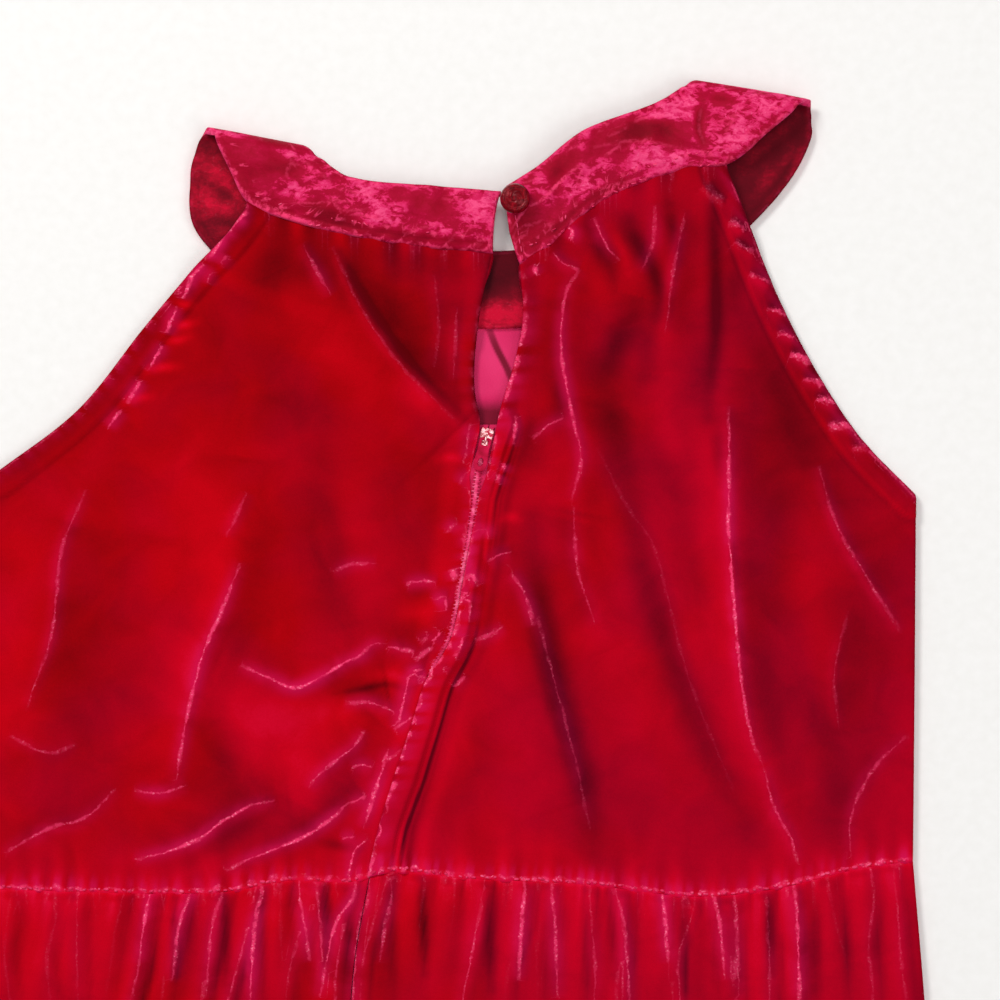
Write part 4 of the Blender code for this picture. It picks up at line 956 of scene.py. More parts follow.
def crease_fields(creases, x, y):
    """The creases' lines, how far they rise, and the painted shade and painted light that they put on the
    cloth beside them.
    """
    lines, rise, shade = Lines(x.shape), np.zeros(x.shape), np.zeros(x.shape)
    for crease in creases:
        route = flatten(crease.route, 6 if len(crease.route) > 3 else 3)
        inside = near_route(route, x, y, 2.6 * crease.reach)
        if not inside.any():
            continue
        away, share = measure(route, x[inside], y[inside])
        taper = np.sin(math.pi * share) ** 0.5
        rise[inside] += crease.rise * taper * bell(away, 1.5)
        # painted shade on one side of the crease and painted light on the other
        darker = away if crease.shade > 0 else -away
        on_side = smoothstep(-0.8, 1.2, darker) * falloff(darker, crease.reach)
        lit = smoothstep(-0.8, 1.2, -darker) * falloff(-darker, crease.reach) * 0.55
        shade[inside] += abs(crease.shade) * taper * (lit - on_side)
        lines.add(away / crease.fat, crease.glow * taper, inside, crease.fat)
    return lines, rise, shade


def tone_field(tones, x, y):
    total = np.zeros(x.shape)
    for tone in tones:
        away, share = measure(flatten(tone.route, 5), x, y)
        taper = np.sin(math.pi * np.clip(share, 0.08, 0.92)) ** 0.7
        total += tone.amount * taper * bell(away, tone.reach)
    return total


def waves(x, size, seed):
    """Smooth noise along one coordinate, between about -1 and 1."""
    chance = np.random.default_rng(seed)
    total = np.zeros(np.shape(x))
    for k in range(5):
        total += np.sin(x / size * chance.uniform(0.6, 2.0) * math.pi + chance.uniform(0, 7)) / 2.4
    return total


def dashes(x, size, seed, shift):
    """How strong a broken line is along it, from 0 to 1."""
    return np.clip(waves(x, size, seed) + shift, 0, 1)


def grid_faces(rows, columns):
    index = np.arange(rows * columns).reshape(rows, columns)
    quads = np.stack([index[:-1, :-1], index[:-1, 1:], index[1:, 1:], index[1:, :-1]], -1)
    return quads.reshape(-1, 4).tolist()


def ring_faces(first, second, sides):
    """Faces between two rings of points, given the numbers of their first points."""
    return [(first + k, first + (k + 1) % sides, second + (k + 1) % sides, second + k) for k in range(sides)]


def add_object(name, data):
    obj = bpy.data.objects.new(name, data)
    bpy.context.scene.collection.objects.link(obj)
    return obj


def smooth_mesh(name, points, faces, *finishes):
    """An object of points in millimetres and faces."""
    mesh = bpy.data.meshes.new(name)
    mesh.from_pydata((np.asarray(points, float) * MM).tolist(), [], faces)
    for finish in finishes:
        mesh.materials.append(finish)
    mesh.shade_smooth()
    return add_object(name, mesh)


def grid_mesh(name, points, fields, finishes):
    """A grid of points, rows by columns by 3, as a smooth mesh with a float attribute for each field."""
    obj = smooth_mesh(name, points.reshape(-1, 3), grid_faces(*points.shape[:2]), *finishes)
    for word, values in fields.items():
        layer = obj.data.attributes.new(word, "FLOAT", "POINT")
        layer.data.foreach_set("value", np.ravel(values).astype(np.float32))
    return obj


def wall(obj, thickness, offset):
    """A cloth wall whose wrong side takes the object's second finish."""
    solid = obj.modifiers.new("Wall", "SOLIDIFY")
    solid.thickness = thickness * MM
    solid.offset = offset
    solid.material_offset = 1
    solid.material_offset_rim = 0


def lean(points, towards):
    """How far a grid's faces lean towards a direction across it, from -1 to 1."""
    across, up = np.gradient(points, axis=1), np.gradient(points, axis=0)
    normal = np.cross(across, up)
    normal /= np.linalg.norm(normal, axis=2, keepdims=True) + 1e-12
    return normal[..., 0] * towards[0] + normal[..., 1] * towards[1]


def shell(name, outlines, cell, height, detail, finishes, across=1.0, up=1.0):
    """A cloth panel on its solid's form. detail gives its lines, extra rise and tone at x, y, u and v."""
    sizes = [run_length(outlines[key]) for key in ("top", "bottom", "left", "right")]
    columns = int(FINE * max(sizes[:2]) / cell)
    rows = int(FINE * max(sizes[2:]) / cell)
    u, v = np.meshgrid(np.linspace(0, 1, columns + 1), np.linspace(0, 1, rows + 1))
    u, v = crowd(u, across), crowd(v, up)
    flat = coons(u.ravel(), v.ravel(), outlines, up != 1.0).reshape(*u.shape, 2)
    x, y = flat[..., 0], flat[..., 1]
    lines, rise, tone = detail(x, y, u, v)
    points = np.dstack([x, y, height(x, y, u, v) + rise])
    # painted light and shade: slopes that face LIT_FROM are lighter, those facing away darker
    tone = tone + LEAN_SHADING * np.tanh(1.6 * lean(points, LIT_FROM))
    return grid_mesh(name, points, lines.fields(tone), finishes)


def edge_distance(line, x, y, reach):
    """Distance from a line, worked out only near it."""
    found = np.full(x.shape, 99.0)
    inside = near_route(line, x, y, reach)
    found[inside] = np.abs(measure(line, x[inside], y[inside])[0])
    return found


def bodice_detail(creases, tones, armhole, opening, side):
    """The fine form and the tones, with painted light and shade, of a back bodice panel. side is -1 for the
    left back, 1 for the right.
    """
    outside, edge = flatten(armhole), flatten(opening)

    def detail(x, y, u, v):
        lines, rise, shade = crease_fields(creases, x, y)
        calm = beside_tab(x, y)
        rise, lines.glow = rise * calm, lines.glow * calm
        tone = shade + tone_field(tones, x, y) + 0.15 * waves(x + 0.6 * y, 60.0, 5)
        # the armhole's turned hem, with painted shade in its groove, along its edge and inside it
        from_armhole = edge_distance(outside, x, y, ARMHOLE_NEAR)
        hem_groove = bell(from_armhole - ARMHOLE_HEM - 0.4, 0.8)
        rise -= 0.35 * hem_groove + 0.8 * np.exp(-from_armhole / 0.7)
        tone -= 0.5 * hem_groove + 0.4 * np.exp(-from_armhole / 3.0)
        lines.add(from_armhole - 0.5, 0.45 * dashes(x + y, 5.0, 71, 0.6))
        hem_side = bell(from_armhole - 3.0, 3.5)
        tone -= (0.5 if side < 0 else 0.2) * hem_side
        # the ruffled seam at the waist, with painted light along its edge and on the ruffles' puffs
        above_waist = y - waist_height(x)
        ruffle = falloff(above_waist, 6.0)
        rise += 0.4 * ruffle * waves(x, RUFFLE_WAVE, 11 + side) - 0.3 * falloff(above_waist, 0.8)
        tone += 1.6 * falloff(above_waist, 0.5)
        tone += ruffle * (0.9 * waves(x, RUFFLE_WAVE, 11 + side) + 1.2)
        crest = above_waist - 0.9 - 0.5 * waves(x, 5.0, 83)
        lines.add(0.7 * crest, 0.9 * np.clip(1.6 * waves(x, 3.0, 84) + 0.4, 0.05, 1))
        # the edge along the zip, which is crushed flat at its lower end, and painted lighter against the
        # gap's shade
        from_zip, share = measure(zip_curve(), x, y)
        zip_x = np.interp(y, *zip_curve()[::-1].T[::-1])
        beyond = (x - zip_x) * side
        from_zip = np.abs(from_zip)
        closed = smoothstep(0.0, 0.03, share)
        crushed = 1 - smoothstep(*CRUSHED_BELOW, y)
        lapped = LAP * crushed if side > 0 else 0.0
        dips = 0.5 - 0.62 * crushed if side > 0 else 0.5 - 0.3 * crushed
        rise -= dips * closed * np.exp(-from_zip / 0.8)
        raised, reach = (-0.5, 1.0) if side > 0 else (1.0, 3.0)
        rise += raised * crushed * closed * np.exp(-from_zip / reach)
        edge_away = beyond + lapped - at_height(ZIP_GAPS, y) / 2 * (1 - crushed) - 0.45
        crumpled = smoothstep(*CRUMPLED_FROM, y) * (1 - smoothstep(*CRUMPLED_TO, y))
        by_slider = smoothstep(*BESIDE_SLIDER, y)
        if side > 0:
            strength = 0.45 + 0.5 * np.clip(crushed + crumpled + by_slider, 0, 1)
        else:
            strength = 0.35 * (1 - crushed)
        tone += (1.8 * by_slider + 0.9 * (1 - crushed)) * closed * np.exp(-np.abs(edge_away) / 0.9)
        rise -= 0.6 * by_slider * closed * falloff(edge_away, 1.4)
        wander = 0.5 * crushed * waves(y, 5.0, 77 + side)
        broad = np.maximum(1 - 0.55 * crumpled - 0.35 * crushed, 0.5)
        lines.add(broad * (edge_away - wander), closed * strength * dashes(y, 4.0, 73 + side, 0.8))
        # the groove along the smooth strip, with painted shade in it and beyond it, and painted light on the
        # strip's falling edge
        if side > 0:
            groove = from_zip - at_height(PLACKET_WIDTH, y) - 0.9
            below = 1 - smoothstep(*OPENING_START, y)
            deep = at_height(GROOVE_SHADE, y) * below
            tone -= deep * bell(groove, np.where(groove < 0, 0.5, 0.75))
            tone -= 0.6 * below * bell(groove - 2.4, 1.8)
            rise += 1.3 * below * smoothstep(-0.4, 1.2, groove) * bell(groove - 1.2, 3.0)
            tone += 0.8 * below * bell(groove + 1.9, 1.2)
        # the edge of the opening, with painted shade along the left one, and the puckers under the neckband,
        # with painted light and shade on them and painted shade under the band
        from_opening = edge_distance(edge, x, y, OPENING_NEAR)
        rise -= 0.5 * np.exp(-from_opening / 0.7)
        sparkle = (0.95 if side > 0 else 0.1) * (1 - closed) * (1 - 0.85 * smoothstep(*SPARKLE_ENDS, y))
        lines.add(0.6 * (from_opening - 0.6), sparkle * dashes(y, 5.0, 75 + side, 0.7))
        if side < 0:
            tone -= 1.3 * (1 - closed) * np.exp(-from_opening / 1.6)
        from_neck = neck_gap(x, y, side)
        near = np.exp(-from_neck / 7.0)
        rise += 0.1 * np.exp(-from_neck / 1.5) + 0.2 * near * waves(x, PUCKER_WAVE, 19 + side)
        tone += near * (0.6 * waves(x, PUCKER_WAVE, 19 + side) - 0.4)
        pinches = waves(x, 2.9, 27 + side)
        pinched = np.clip(1.5 * waves(x, 9.0, 29 + side) - 0.3, 0, 1)
        lines.add(1.6 * pinches, 0.18 * np.exp(-from_neck / 2.5) * pinched)
        return lines, rise, tone

    return detail


def neck_gap(x, y, side):
    """Distance down from the neckband's seam on one back panel."""
    seam = seam_below(BAND_BACK_LEFT if side < 0 else BAND_BACK_RIGHT)
    seam = seam[np.argsort(seam[:, 0])]
    return np.maximum(np.interp(x, seam[:, 0], seam[:, 1]) - y, 0)


# Where the photo shows gathers under the waist: a bright line's x at the seam and 12 mm below it, and the
# dips, where painted shade lies
GATHER_LINES = (
    (-117.0, -118.5), (-103.6, -106.4), (-93.0, -95.5), (-79.7, -81.6), (-67.2, -65.3), (-61.0, -60.0),
    (-48.6, -54.4), (-43.8, -46.7), (-36.2, -38.1), (8.1, 7.2), (17.2, 18.2), (38.7, 41.1), (54.0, 55.0),
    (71.2, 73.1), (77.9, 78.8), (98.0, 99.0),
)
GATHER_DIPS = (
    -109.0, -92.0, -80.0, -58.0, -51.0, -36.5, -26.0, -4.0, 28.0, 37.0, 61.0, 71.5, 89.5, 105.0, 115.0,
)


def shown_gathers():
    """The gathers of the photo, as creases with painted light and shade beside them and painted shade in
    their dips, that run on a little below its edge.
    """
    creases, dips = [], []
    for k, (high, low) in enumerate(GATHER_LINES):
        route = ((high, 3.0), (high + 0.2, -3.0), (low, -12.0), (2 * low - high, -26.0 - 6.0 * (k % 4)))
        creases.append(Crease(0.95 - 0.25 * (k % 3), 0.7, 0.9 if k % 2 else -0.9, 3.0, route))
    for k, x in enumerate(GATHER_DIPS):
        route = ((x, 3.0), (x + 0.3, -8.0), (x + 1.0, -30.0 - 5.0 * (k % 3)))
        dips.append(Tone(-2.0 + 0.4 * (k % 3), 1.5 + 0.4 * (k % 2), route))
    return creases, dips


def leg_detail(creases, count, seed):
    """The fine form and the tones of a gathered trouser panel, with painted light and shade on its gathers,
    seam and hem.
    """
    rows = gathers(count, seed)
    shown, dips = shown_gathers()

    def detail(x, y, u, v):
        lines, rise, shade = crease_fields([*creases, *shown], x, y)
        down = np.maximum(waist_height(np.clip(x, SIDE_WAIST_LEFT, SIDE_WAIST_RIGHT)) - y, 0)
        across = (x.max(axis=1) - x.min(axis=1))[:, None]
        tone = shade + 0.18 * waves(x - 0.3 * y, 46.0, seed) + tone_field(dips, x, y)
        chance = np.random.default_rng(seed + 40)
        guessed = smoothstep(10.0, 26.0, down)
        puffed = np.zeros(x.shape)
        for row in rows:
            reach = row.length * chance.uniform(0.15, 0.9)
            middle = row.share + row.lean * down / row.length
            spread = row.width * (1 + down / row.length)
            puffed += row.height * np.exp(-((down / row.length) ** 1.5)) * bell(u - middle, spread)
            wander = chance.uniform(0.3, 1.3) * np.sin(down / chance.uniform(4, 11) + chance.uniform(0, 6))
            crest = (u - middle) * across + wander + chance.uniform(-2.6, 1.2)
            crest = crest + chance.uniform(-0.12, 0.12) * down
            strength = chance.uniform(0.1, 1.0) * np.exp(-down / (0.55 * reach))
            strength = strength * (0.25 + 0.75 * guessed)
            lines.add(crest, strength)
            rise += 0.9 * strength * bell(crest, 1.3)
            # painted shade in each gather's valley, and painted light beside its crest
            valley = crest - chance.uniform(2.2, 4.6)
            fade = chance.uniform(0.3, 1.0) * np.exp(-down / reach) * (0.35 + 0.65 * guessed)
            wide = chance.uniform(0.8, 2.0)
            rise -= 0.9 * fade * bell(valley, wide)
            tone -= 2.2 * fade * bell(valley, wide)
            tone += 0.7 * fade * bell(crest + 2.5, 2.5)
        # painted light on the puffs below the waist seam and along its edge
        near_seam = np.exp(-down / 6.0)
        rise += 0.3 * near_seam * waves(x, 3.3, seed + 2) - 0.9 * puffed * (1 - smoothstep(0.0, 3.5, down))
        tone += 1.2 * np.exp(-down / 14.0) + 1.6 * np.exp(-down / 0.6)
        tone += 0.5 * near_seam * waves(x, 3.3, seed + 2)
        pinched = 0.3 * np.exp(-down / 3.0) * dashes(x, 7.0, seed + 13, 0)
        lines.add(1.2 * waves(x + 0.2 * y, 4.0, seed + 12), pinched)
        rise -= 0.3 * np.exp(-down / 0.8)
        # the hem, with painted shade in its groove
        hem = y - LEG_END
        groove = bell(hem - LEG_HEM, 0.9)
        rise += 0.45 * (1 - smoothstep(LEG_HEM - 1, LEG_HEM + 1, hem))
        rise -= 0.5 * groove + 0.7 * np.exp(-hem / 0.8)
        tone += 0.4 * np.exp(-np.abs(hem - LEG_HEM) / 3.0) * waves(x, 5.0, seed + 6) - 0.7 * groove
        return lines, rise, tone

    return detail


def flat_detail(x, y, u, v):
    """The front panels' wrong side, with the fold that shows through the back opening, painted light on one
    side of it and painted shade on the other, and painted shade low in the opening.
    """
    lines = Lines(x.shape)
    away, share = measure(flatten(REVERSE_FOLD, 6), x, y)
    lines.add(away, np.sin(math.pi * share) ** 0.4)
    tone = 0.3 * waves(x + y, 30.0, 4) + 0.9 * bell(away + 3.0, 4.0) - 0.5 * smoothstep(0, 4, away)
    tone += 0.7 - 5.0 * (1 - smoothstep(156.0, 165.0, y))
    return lines, 0.0 * x, tone


BAND_CREASES = (
    *table(
        Crease,
        (0.9, 0.5, 0.8, 3, 8.9, 225.7, 13.8, 227.8, 20, 234.1, 27, 240),
        (0.8, 0.4, 0.6, 2.5, 8.9, 225.7, 6.8, 222.9, 4.7, 220.1),
        (0.2, -0.6, 0, 3, 67.2, 260, 66, 252, 68.4, 245),
        (0.3, 0.4, 0.8, 3, 30, 245, 41, 247.4, 52.3, 246.8, 61, 244.5),
        (0.3, 0.4, 0.8, 3, -72, 244, -64, 240, -55, 233),
    ),
    *marks(
        1, 0.4, 3,
        (-97, 251.5, -93.4, 244, -88.6, 234, -83.6, 227.6, -76, 224.2, -66, 220.6, -52, 217),
        rise=0.4, fat=2.4,
    ),
)
# Tones of the neckband's upper layer: partly its crushed patches, partly painted shade in the fold valleys
# and painted light on the ridges
BAND_TONES = table(
    Tone,
    (-0.9, 9, -96, 247, -82, 239, -64, 234),
    (-1.7, 1.9, -84, 248.3, -72.7, 246.7, -63.5, 244.2),
    (1.4, 2.3, -72, 243.6, -67, 243, -62.5, 241),
    (-1.2, 3.4, -79, 242, -72, 239.4, -66, 236.8),
    (1.3, 3, -77, 234, -68, 231, -60.5, 228),
    (-1.7, 3, -68, 227.8, -57, 223.6, -47, 219.6),
    (1.2, 4.6, -53, 231, -43, 226, -34, 221.5),
    (-0.9, 3.6, -35, 231, -26, 227, -16, 226),
    (1.6, 4, -13, 229.4, -6, 227.4, 1, 226),
    (-1.1, 2.2, -64, 222.8, -52, 219.8, -28, 215.7, -1, 213.4),
    (-1.4, 1, -25, 211.9, -14, 211.3, -4, 210.8),
    (-2.1, 4, 33, 247.6, 47, 251.2, 61, 249.6),
    (-1.5, 3.6, 13, 236, 20.8, 240.7, 29, 243.6),
    (1.9, 2.3, 46, 255.4, 55, 256.6, 63, 256.8),
    (1.4, 3.2, 46, 241.6, 55, 242.5, 64, 241.6),
    (1.5, 3, 73.5, 247, 79.5, 249, 85.5, 252.6),
    (-2, 1.8, 68, 261.8, 74.6, 261, 81.5, 259.4),
    (1.4, 2.6, 57, 259.4, 62.3, 260.2, 66.5, 259.2),
    (-1.8, 1.4, 67.4, 261, 66, 251.7, 68.8, 243.6),
    (0.8, 4, 80, 264.4, 88, 263.3, 97, 264),
    (-1.2, 5, 4, 212, 8, 222, 8, 232),
    (-0.9, 3, 12, 214, 21, 221, 31, 229, 46, 236.6),
    (0.9, 3.2, 18, 226, 27, 233, 37, 238.6),
)
# Tones of the band's lower faces at the ears, and of the front band in the back opening: stripes of the pile,
# painted shade under the upper layer and the back panels' edges, and painted light where they lie open
EAR_TONES = table(
    Tone,
    (0.9, 2.2, -84.3, 226, -93, 236, -100, 244),
    (-1.2, 1.6, -84, 226, -94, 231.5, -102, 237),
    (0.8, 2.2, -84, 224.5, -94, 226, -103, 229),
    (-1, 1.8, -85, 222, -93, 221, -101, 221),
    (0.9, 1.7, 84, 230, 92, 238, 99, 246),
    (0.8, 1.5, 80, 238, 88, 246, 97, 254),
    (0.9, 2, 92, 228, 99, 238, 103.5, 252),
    (1.7, 14, -78, 222, -96, 232, -98, 250),
    (3.5, 5.5, -22, 189.6, 2, 190, 24, 191),
    (-1, 5, -22, 204, 2, 205, 24, 206),
    (-1.6, 3, -6, 213, -4.5, 204, -5, 192),
)


# Materials


class Nodes:
    """A material's node tree, with a short way to add and link nodes."""

    def __init__(self, name):
        self.material = bpy.data.materials.new(name)
        self.material.use_nodes = True
        self.tree = self.material.node_tree
        self.shader = self.tree.nodes["Principled BSDF"]
        self.place = self.add("ShaderNodeTexCoord").outputs["Object"]

    def add(self, kind, **values):
        node = self.tree.nodes.new(kind)
        for key, value in values.items():
            if key in node.inputs:
                self.put(node.inputs[key], value)
            else:
                setattr(node, key, value)
        return node

    def put(self, socket, value):
        if isinstance(value, bpy.types.NodeSocket):
            self.tree.links.new(value, socket)
        elif value is not None:
            socket.default_value = value

    def math(self, operation, *values):
        node = self.add("ShaderNodeMath", operation=operation)
        for socket, value in zip(node.inputs, values):
            self.put(socket, value)
        return node.outputs[0]

    def mix(self, share, a, b):
        node = self.add("ShaderNodeMix", data_type="RGBA")
        for socket, value in zip((node.inputs[0], node.inputs[6], node.inputs[7]), (share, a, b)):
            self.put(socket, value)
        return node.outputs[2]

    def range(self, value, low, high, start=0.0, end=1.0):
        node = self.add("ShaderNodeMapRange", interpolation_type="SMOOTHSTEP")
        for socket, number in zip(node.inputs, (value, low, high, start, end)):
            self.put(socket, number)
        return node.outputs[0]

    def noise(self, scale, detail=2.0, distortion=0.0, roughness=0.5, vector=None):
        vector = self.place if vector is None else vector
        return self.add(
            "ShaderNodeTexNoise", Vector=vector, Scale=scale, Detail=detail, Distortion=distortion,
            Roughness=roughness,
        ).outputs["Fac"]

    def patterned(self, tone, pattern, amount):
        """A tone moved evenly up and down by a pattern."""
        return self.math("ADD", tone, self.math("MULTIPLY_ADD", pattern, amount, -amount / 2))

    def ramp(self, value, stops):
        node = self.add("ShaderNodeValToRGB", Fac=value)
        ramp = node.color_ramp
        while len(ramp.elements) < len(stops):
            ramp.elements.new(0.5)
        for element, (place, *color) in zip(ramp.elements, stops):
            element.position = place
            element.color = (*color, 1.0)
        return node.outputs["Color"]

    def field(self, name):
        return self.add("ShaderNodeAttribute", attribute_name=name).outputs["Fac"]

    def stretched(self, scale, **turn):
        return self.add("ShaderNodeMapping", Vector=self.place, Scale=scale, **turn).outputs["Vector"]

    def bump(self, height, strength, distance, normal=None):
        node = self.add("ShaderNodeBump", Height=height, Strength=strength, Distance=distance, Normal=normal)
        return node.outputs["Normal"]

    def finish(self, **values):
        for key, value in values.items():
            self.put(self.shader.inputs[key.replace("_", " ")], value)
        return self.material


PINK_GLOW = (0.86, 0.045, 0.155, 1.0)  # of a crushed line: the crushed pile with a painted highlight
SOFT_HALO = (0.58, 0.006, 0.080, 1.0)  # round it: a painted soft sheen
SPARKLE = (0.98, 0.20, 0.34, 1.0)  # single hairs of the pile that catch the light
BAND_SPARKLE = (1.0, 0.24, 0.42, 1.0)
FOLD_SHADE = (0.16, 0.0006, 0.014, 1.0)  # the fold on the velvet's wrong side
BARE_METAL = (0.92, 0.52, 0.54, 1.0)
# Ramps of a tone from 0 to 1: its place there, and its red, green and blue
VELVET_RAMP = (
    (0.0, 0.105, 0.0004, 0.0022), (0.25, 0.225, 0.0003, 0.0028), (0.50, 0.375, 0.0002, 0.0034),
    (0.75, 0.540, 0.0003, 0.0060), (1.0, 0.680, 0.0030, 0.0230),
)
PLUM_BLUES = (0.0070, 0.0105, 0.0122, 0.0148, 0.0380)
PLUM_RAMP = tuple((*stop[:3], blue) for stop, blue in zip(VELVET_RAMP, PLUM_BLUES))
BAND_RAMP = (
    (0.0, 0.200, 0.0004, 0.0090),
    (0.30, 0.330, 0.0008, 0.0180),
    (0.48, 0.430, 0.0020, 0.0360),
    (0.54, 0.590, 0.0090, 0.0800),
    (0.74, 0.720, 0.0240, 0.1350),
    (1.0, 0.860, 0.0700, 0.2150),
)
# A darker copy of the band's ramp for its lower, inner faces: painted shade, partly the nap seen against it
SHADED_RAMP = (
    (0.0, 0.040, 0.0002, 0.0030),
    (0.40, 0.120, 0.0004, 0.0070),
    (0.70, 0.290, 0.0010, 0.0140),
    (1.0, 0.570, 0.0020, 0.0280),
)


def make_velvet():
    """Pile velvet. Its tone carries the nap and painted light and shade, and crushed creases show as grainy
    pink lines with a painted highlight.
    """
    n = Nodes("velvet_pile")
    mottle = n.noise(62.0, 3.0, 0.6)
    grain = n.noise(1150.0, 3.0)
    pile = n.noise(3600.0, 2.0)
    tone = n.math("MULTIPLY_ADD", n.field("tone"), 0.24, 0.50)
    tone = n.patterned(n.patterned(tone, mottle, 0.36), grain, 0.12)
    # the pile is bluer to the right and low down, and in patches
    spot = n.add("ShaderNodeSeparateXYZ", Vector=n.place).outputs
    plum = n.math("ADD", n.range(spot[0], -0.08, 0.09, 0.0, 0.65), n.range(spot[1], 0.13, 0.02, 0.0, 0.45))
    plum = n.math("ADD", plum, n.range(n.noise(24.0, 2.0), 0.34, 0.66, -0.30, 0.40))
    plum = n.math("MAXIMUM", n.math("MINIMUM", plum, 1.0), 0.0)
    color = n.mix(plum, n.ramp(tone, VELVET_RAMP), n.ramp(tone, PLUM_RAMP))
    # a painted soft sheen round the crushed lines, and the lines themselves, the crushed pile with a painted
    # highlight
    halo = n.math("MULTIPLY", n.field("halo"), n.range(mottle, 0.3, 0.7, 0.25, 0.85))
    color = n.mix(halo, color, SOFT_HALO)
    wobble = n.math("MULTIPLY_ADD", n.noise(210.0, 2.0), 1.2, -0.6)
    torn = n.math("MULTIPLY_ADD", grain, 1.0, -0.5)
    away = n.math("ABSOLUTE", n.math("ADD", n.field("crease"), n.math("ADD", wobble, torn)))
    wide = n.range(n.noise(120.0, 2.0), 0.38, 0.64, 0.40, 1.25)
    line = n.range(n.math("DIVIDE", away, wide), 0.80, 0.12)
    broken = n.range(n.noise(460.0, 3.0), 0.33, 0.55, 0.16, 1.0)
    line = n.math("MULTIPLY", n.math("MULTIPLY", line, broken), n.field("glow"))
    color = n.mix(line, color, PINK_GLOW)
    sparkle = n.range(n.noise(1300.0, 1.0), 0.57, 0.70)
    color = n.mix(n.math("MULTIPLY", sparkle, line), color, SPARKLE)
    normal = n.bump(pile, 0.25, 0.00012)
    normal = n.bump(grain, 0.22, 0.0002, normal)
    return n.finish(
        Base_Color=color, Roughness=0.85, Normal=normal, Sheen_Weight=0.22, Sheen_Roughness=0.30,
        Sheen_Tint=(1.0, 0.02, 0.10, 1.0), Specular_IOR_Level=0.02,
    )


def make_wrong_side():
    """The smooth pink knitted back of the velvet."""
    n = Nodes("velvet_reverse")
    rows = n.noise(1.0, 2.0, vector=n.stretched((2600.0, 500.0, 500.0)))
    mottle = n.noise(90.0, 3.0)
    tone = n.math("MULTIPLY_ADD", n.field("tone"), 0.16, n.math("MULTIPLY_ADD", mottle, 0.3, 0.42))
    tone = n.patterned(tone, rows, 0.10)
    ramp = ((0.0, 0.20, 0.001, 0.02), (0.5, 0.64, 0.014, 0.105), (1.0, 0.78, 0.036, 0.160))
    color = n.ramp(tone, ramp)
    crease = n.math("MULTIPLY", n.range(n.math("ABSOLUTE", n.field("crease")), 1.9, 0.5), n.field("glow"))
    color = n.mix(n.math("MULTIPLY", crease, 0.95), color, FOLD_SHADE)
    normal = n.bump(rows, 0.3, 0.0001)
    return n.finish(
        Base_Color=color, Roughness=0.6, Normal=normal, Sheen_Weight=0.1,
        Sheen_Tint=(1.0, 0.1, 0.3, 1.0), Specular_IOR_Level=0.1,
    )


def make_band_velvet(name, ramp, crush, glint):
    """Crushed velvet: patches with torn edges, crush strong. glint is how much the pile sparkles."""
    n = Nodes(name)
    patches = n.noise(150.0, 3.0, 1.2, vector=n.stretched((0.75, 1.3, 1.0)))
    turned = n.stretched((250.0, 430.0, 300.0), Rotation=(0.0, 0.0, 0.5))
    streaks = n.noise(1.0, 5.0, 0.45, 0.66, turned)
    flecks = n.noise(560.0, 4.0, 0.6)
    grain = n.noise(1500.0, 3.0)
    tone = n.math("MULTIPLY_ADD", n.field("tone"), 0.20, 0.50)
    for pattern, amount in ((patches, 0.26 * crush), (flecks, 0.16), (grain, 0.12)):
        tone = n.patterned(tone, pattern, amount)
    crackled = n.range(tone, 0.38, 0.60, 0.15, 1.0)
    for low, high, amount in ((0.50, 0.55, 0.22), (0.49, 0.43, -0.20), (0.57, 0.62, 0.10)):
        step = n.math("MULTIPLY", n.range(streaks, low, high), amount * crush)
        tone = n.math("MULTIPLY_ADD", step, crackled, tone)
    color = n.ramp(tone, ramp)
    wobble = n.math("MULTIPLY_ADD", grain, 1.2, -0.6)
    away = n.math("ABSOLUTE", n.math("ADD", n.field("crease"), wobble))
    # the crushed lines, with a painted highlight on them
    line = n.math("MULTIPLY", n.range(away, 0.85, 0.12), n.field("glow"))
    line = n.math("MULTIPLY", line, n.range(flecks, 0.35, 0.58, 0.15, 1.0))
    color = n.mix(line, color, PINK_GLOW)
    sparkle = n.range(n.noise(1300.0, 1.0), 0.62, 0.74)
    sparkle = n.math("MULTIPLY", sparkle, n.range(tone, 0.5, 0.75, 0.0, glint))
    color = n.mix(sparkle, color, BAND_SPARKLE)
    normal = n.bump(patches, 0.30, 0.0008)
    normal = n.bump(flecks, 0.30, 0.0003, normal)
    normal = n.bump(grain, 0.25, 0.00015, normal)
    return n.finish(
        Base_Color=color, Roughness=0.62, Normal=normal, Sheen_Weight=0.2, Sheen_Roughness=0.30,
        Sheen_Tint=(1.0, 0.05, 0.20, 1.0), Specular_IOR_Level=0.06,
    )


def make_thread():
    n = Nodes("thread")
    patch = n.noise(420.0, 2.0)
    ramp = ((0.3, 0.60, 0.008, 0.065), (0.55, 0.82, 0.040, 0.150), (0.75, 0.95, 0.150, 0.290))
    twist = n.noise(5200.0, 2.0)
    return n.finish(
        Base_Color=n.ramp(patch, ramp), Roughness=0.5, Normal=n.bump(twist, 0.4, 0.0001), Sheen_Weight=0.1,
        Sheen_Tint=(1.0, 0.3, 0.4, 1.0), Specular_IOR_Level=0.15,
    )


def make_tape():
    n = Nodes("zip_tape_weave")
    weave = n.add("ShaderNodeTexWave", Vector=n.place, Scale=900.0, Distortion=1.0, Detail=1.0)
    worn = n.noise(300.0, 3.0)
    ramp = ((0.3, 0.42, 0.006, 0.05), (0.7, 0.72, 0.020, 0.11))
    return n.finish(
        Base_Color=n.ramp(worn, ramp), Roughness=0.72, Normal=n.bump(weave.outputs["Fac"], 0.4, 0.0001),
        Sheen_Weight=0.05, Specular_IOR_Level=0.08,
    )


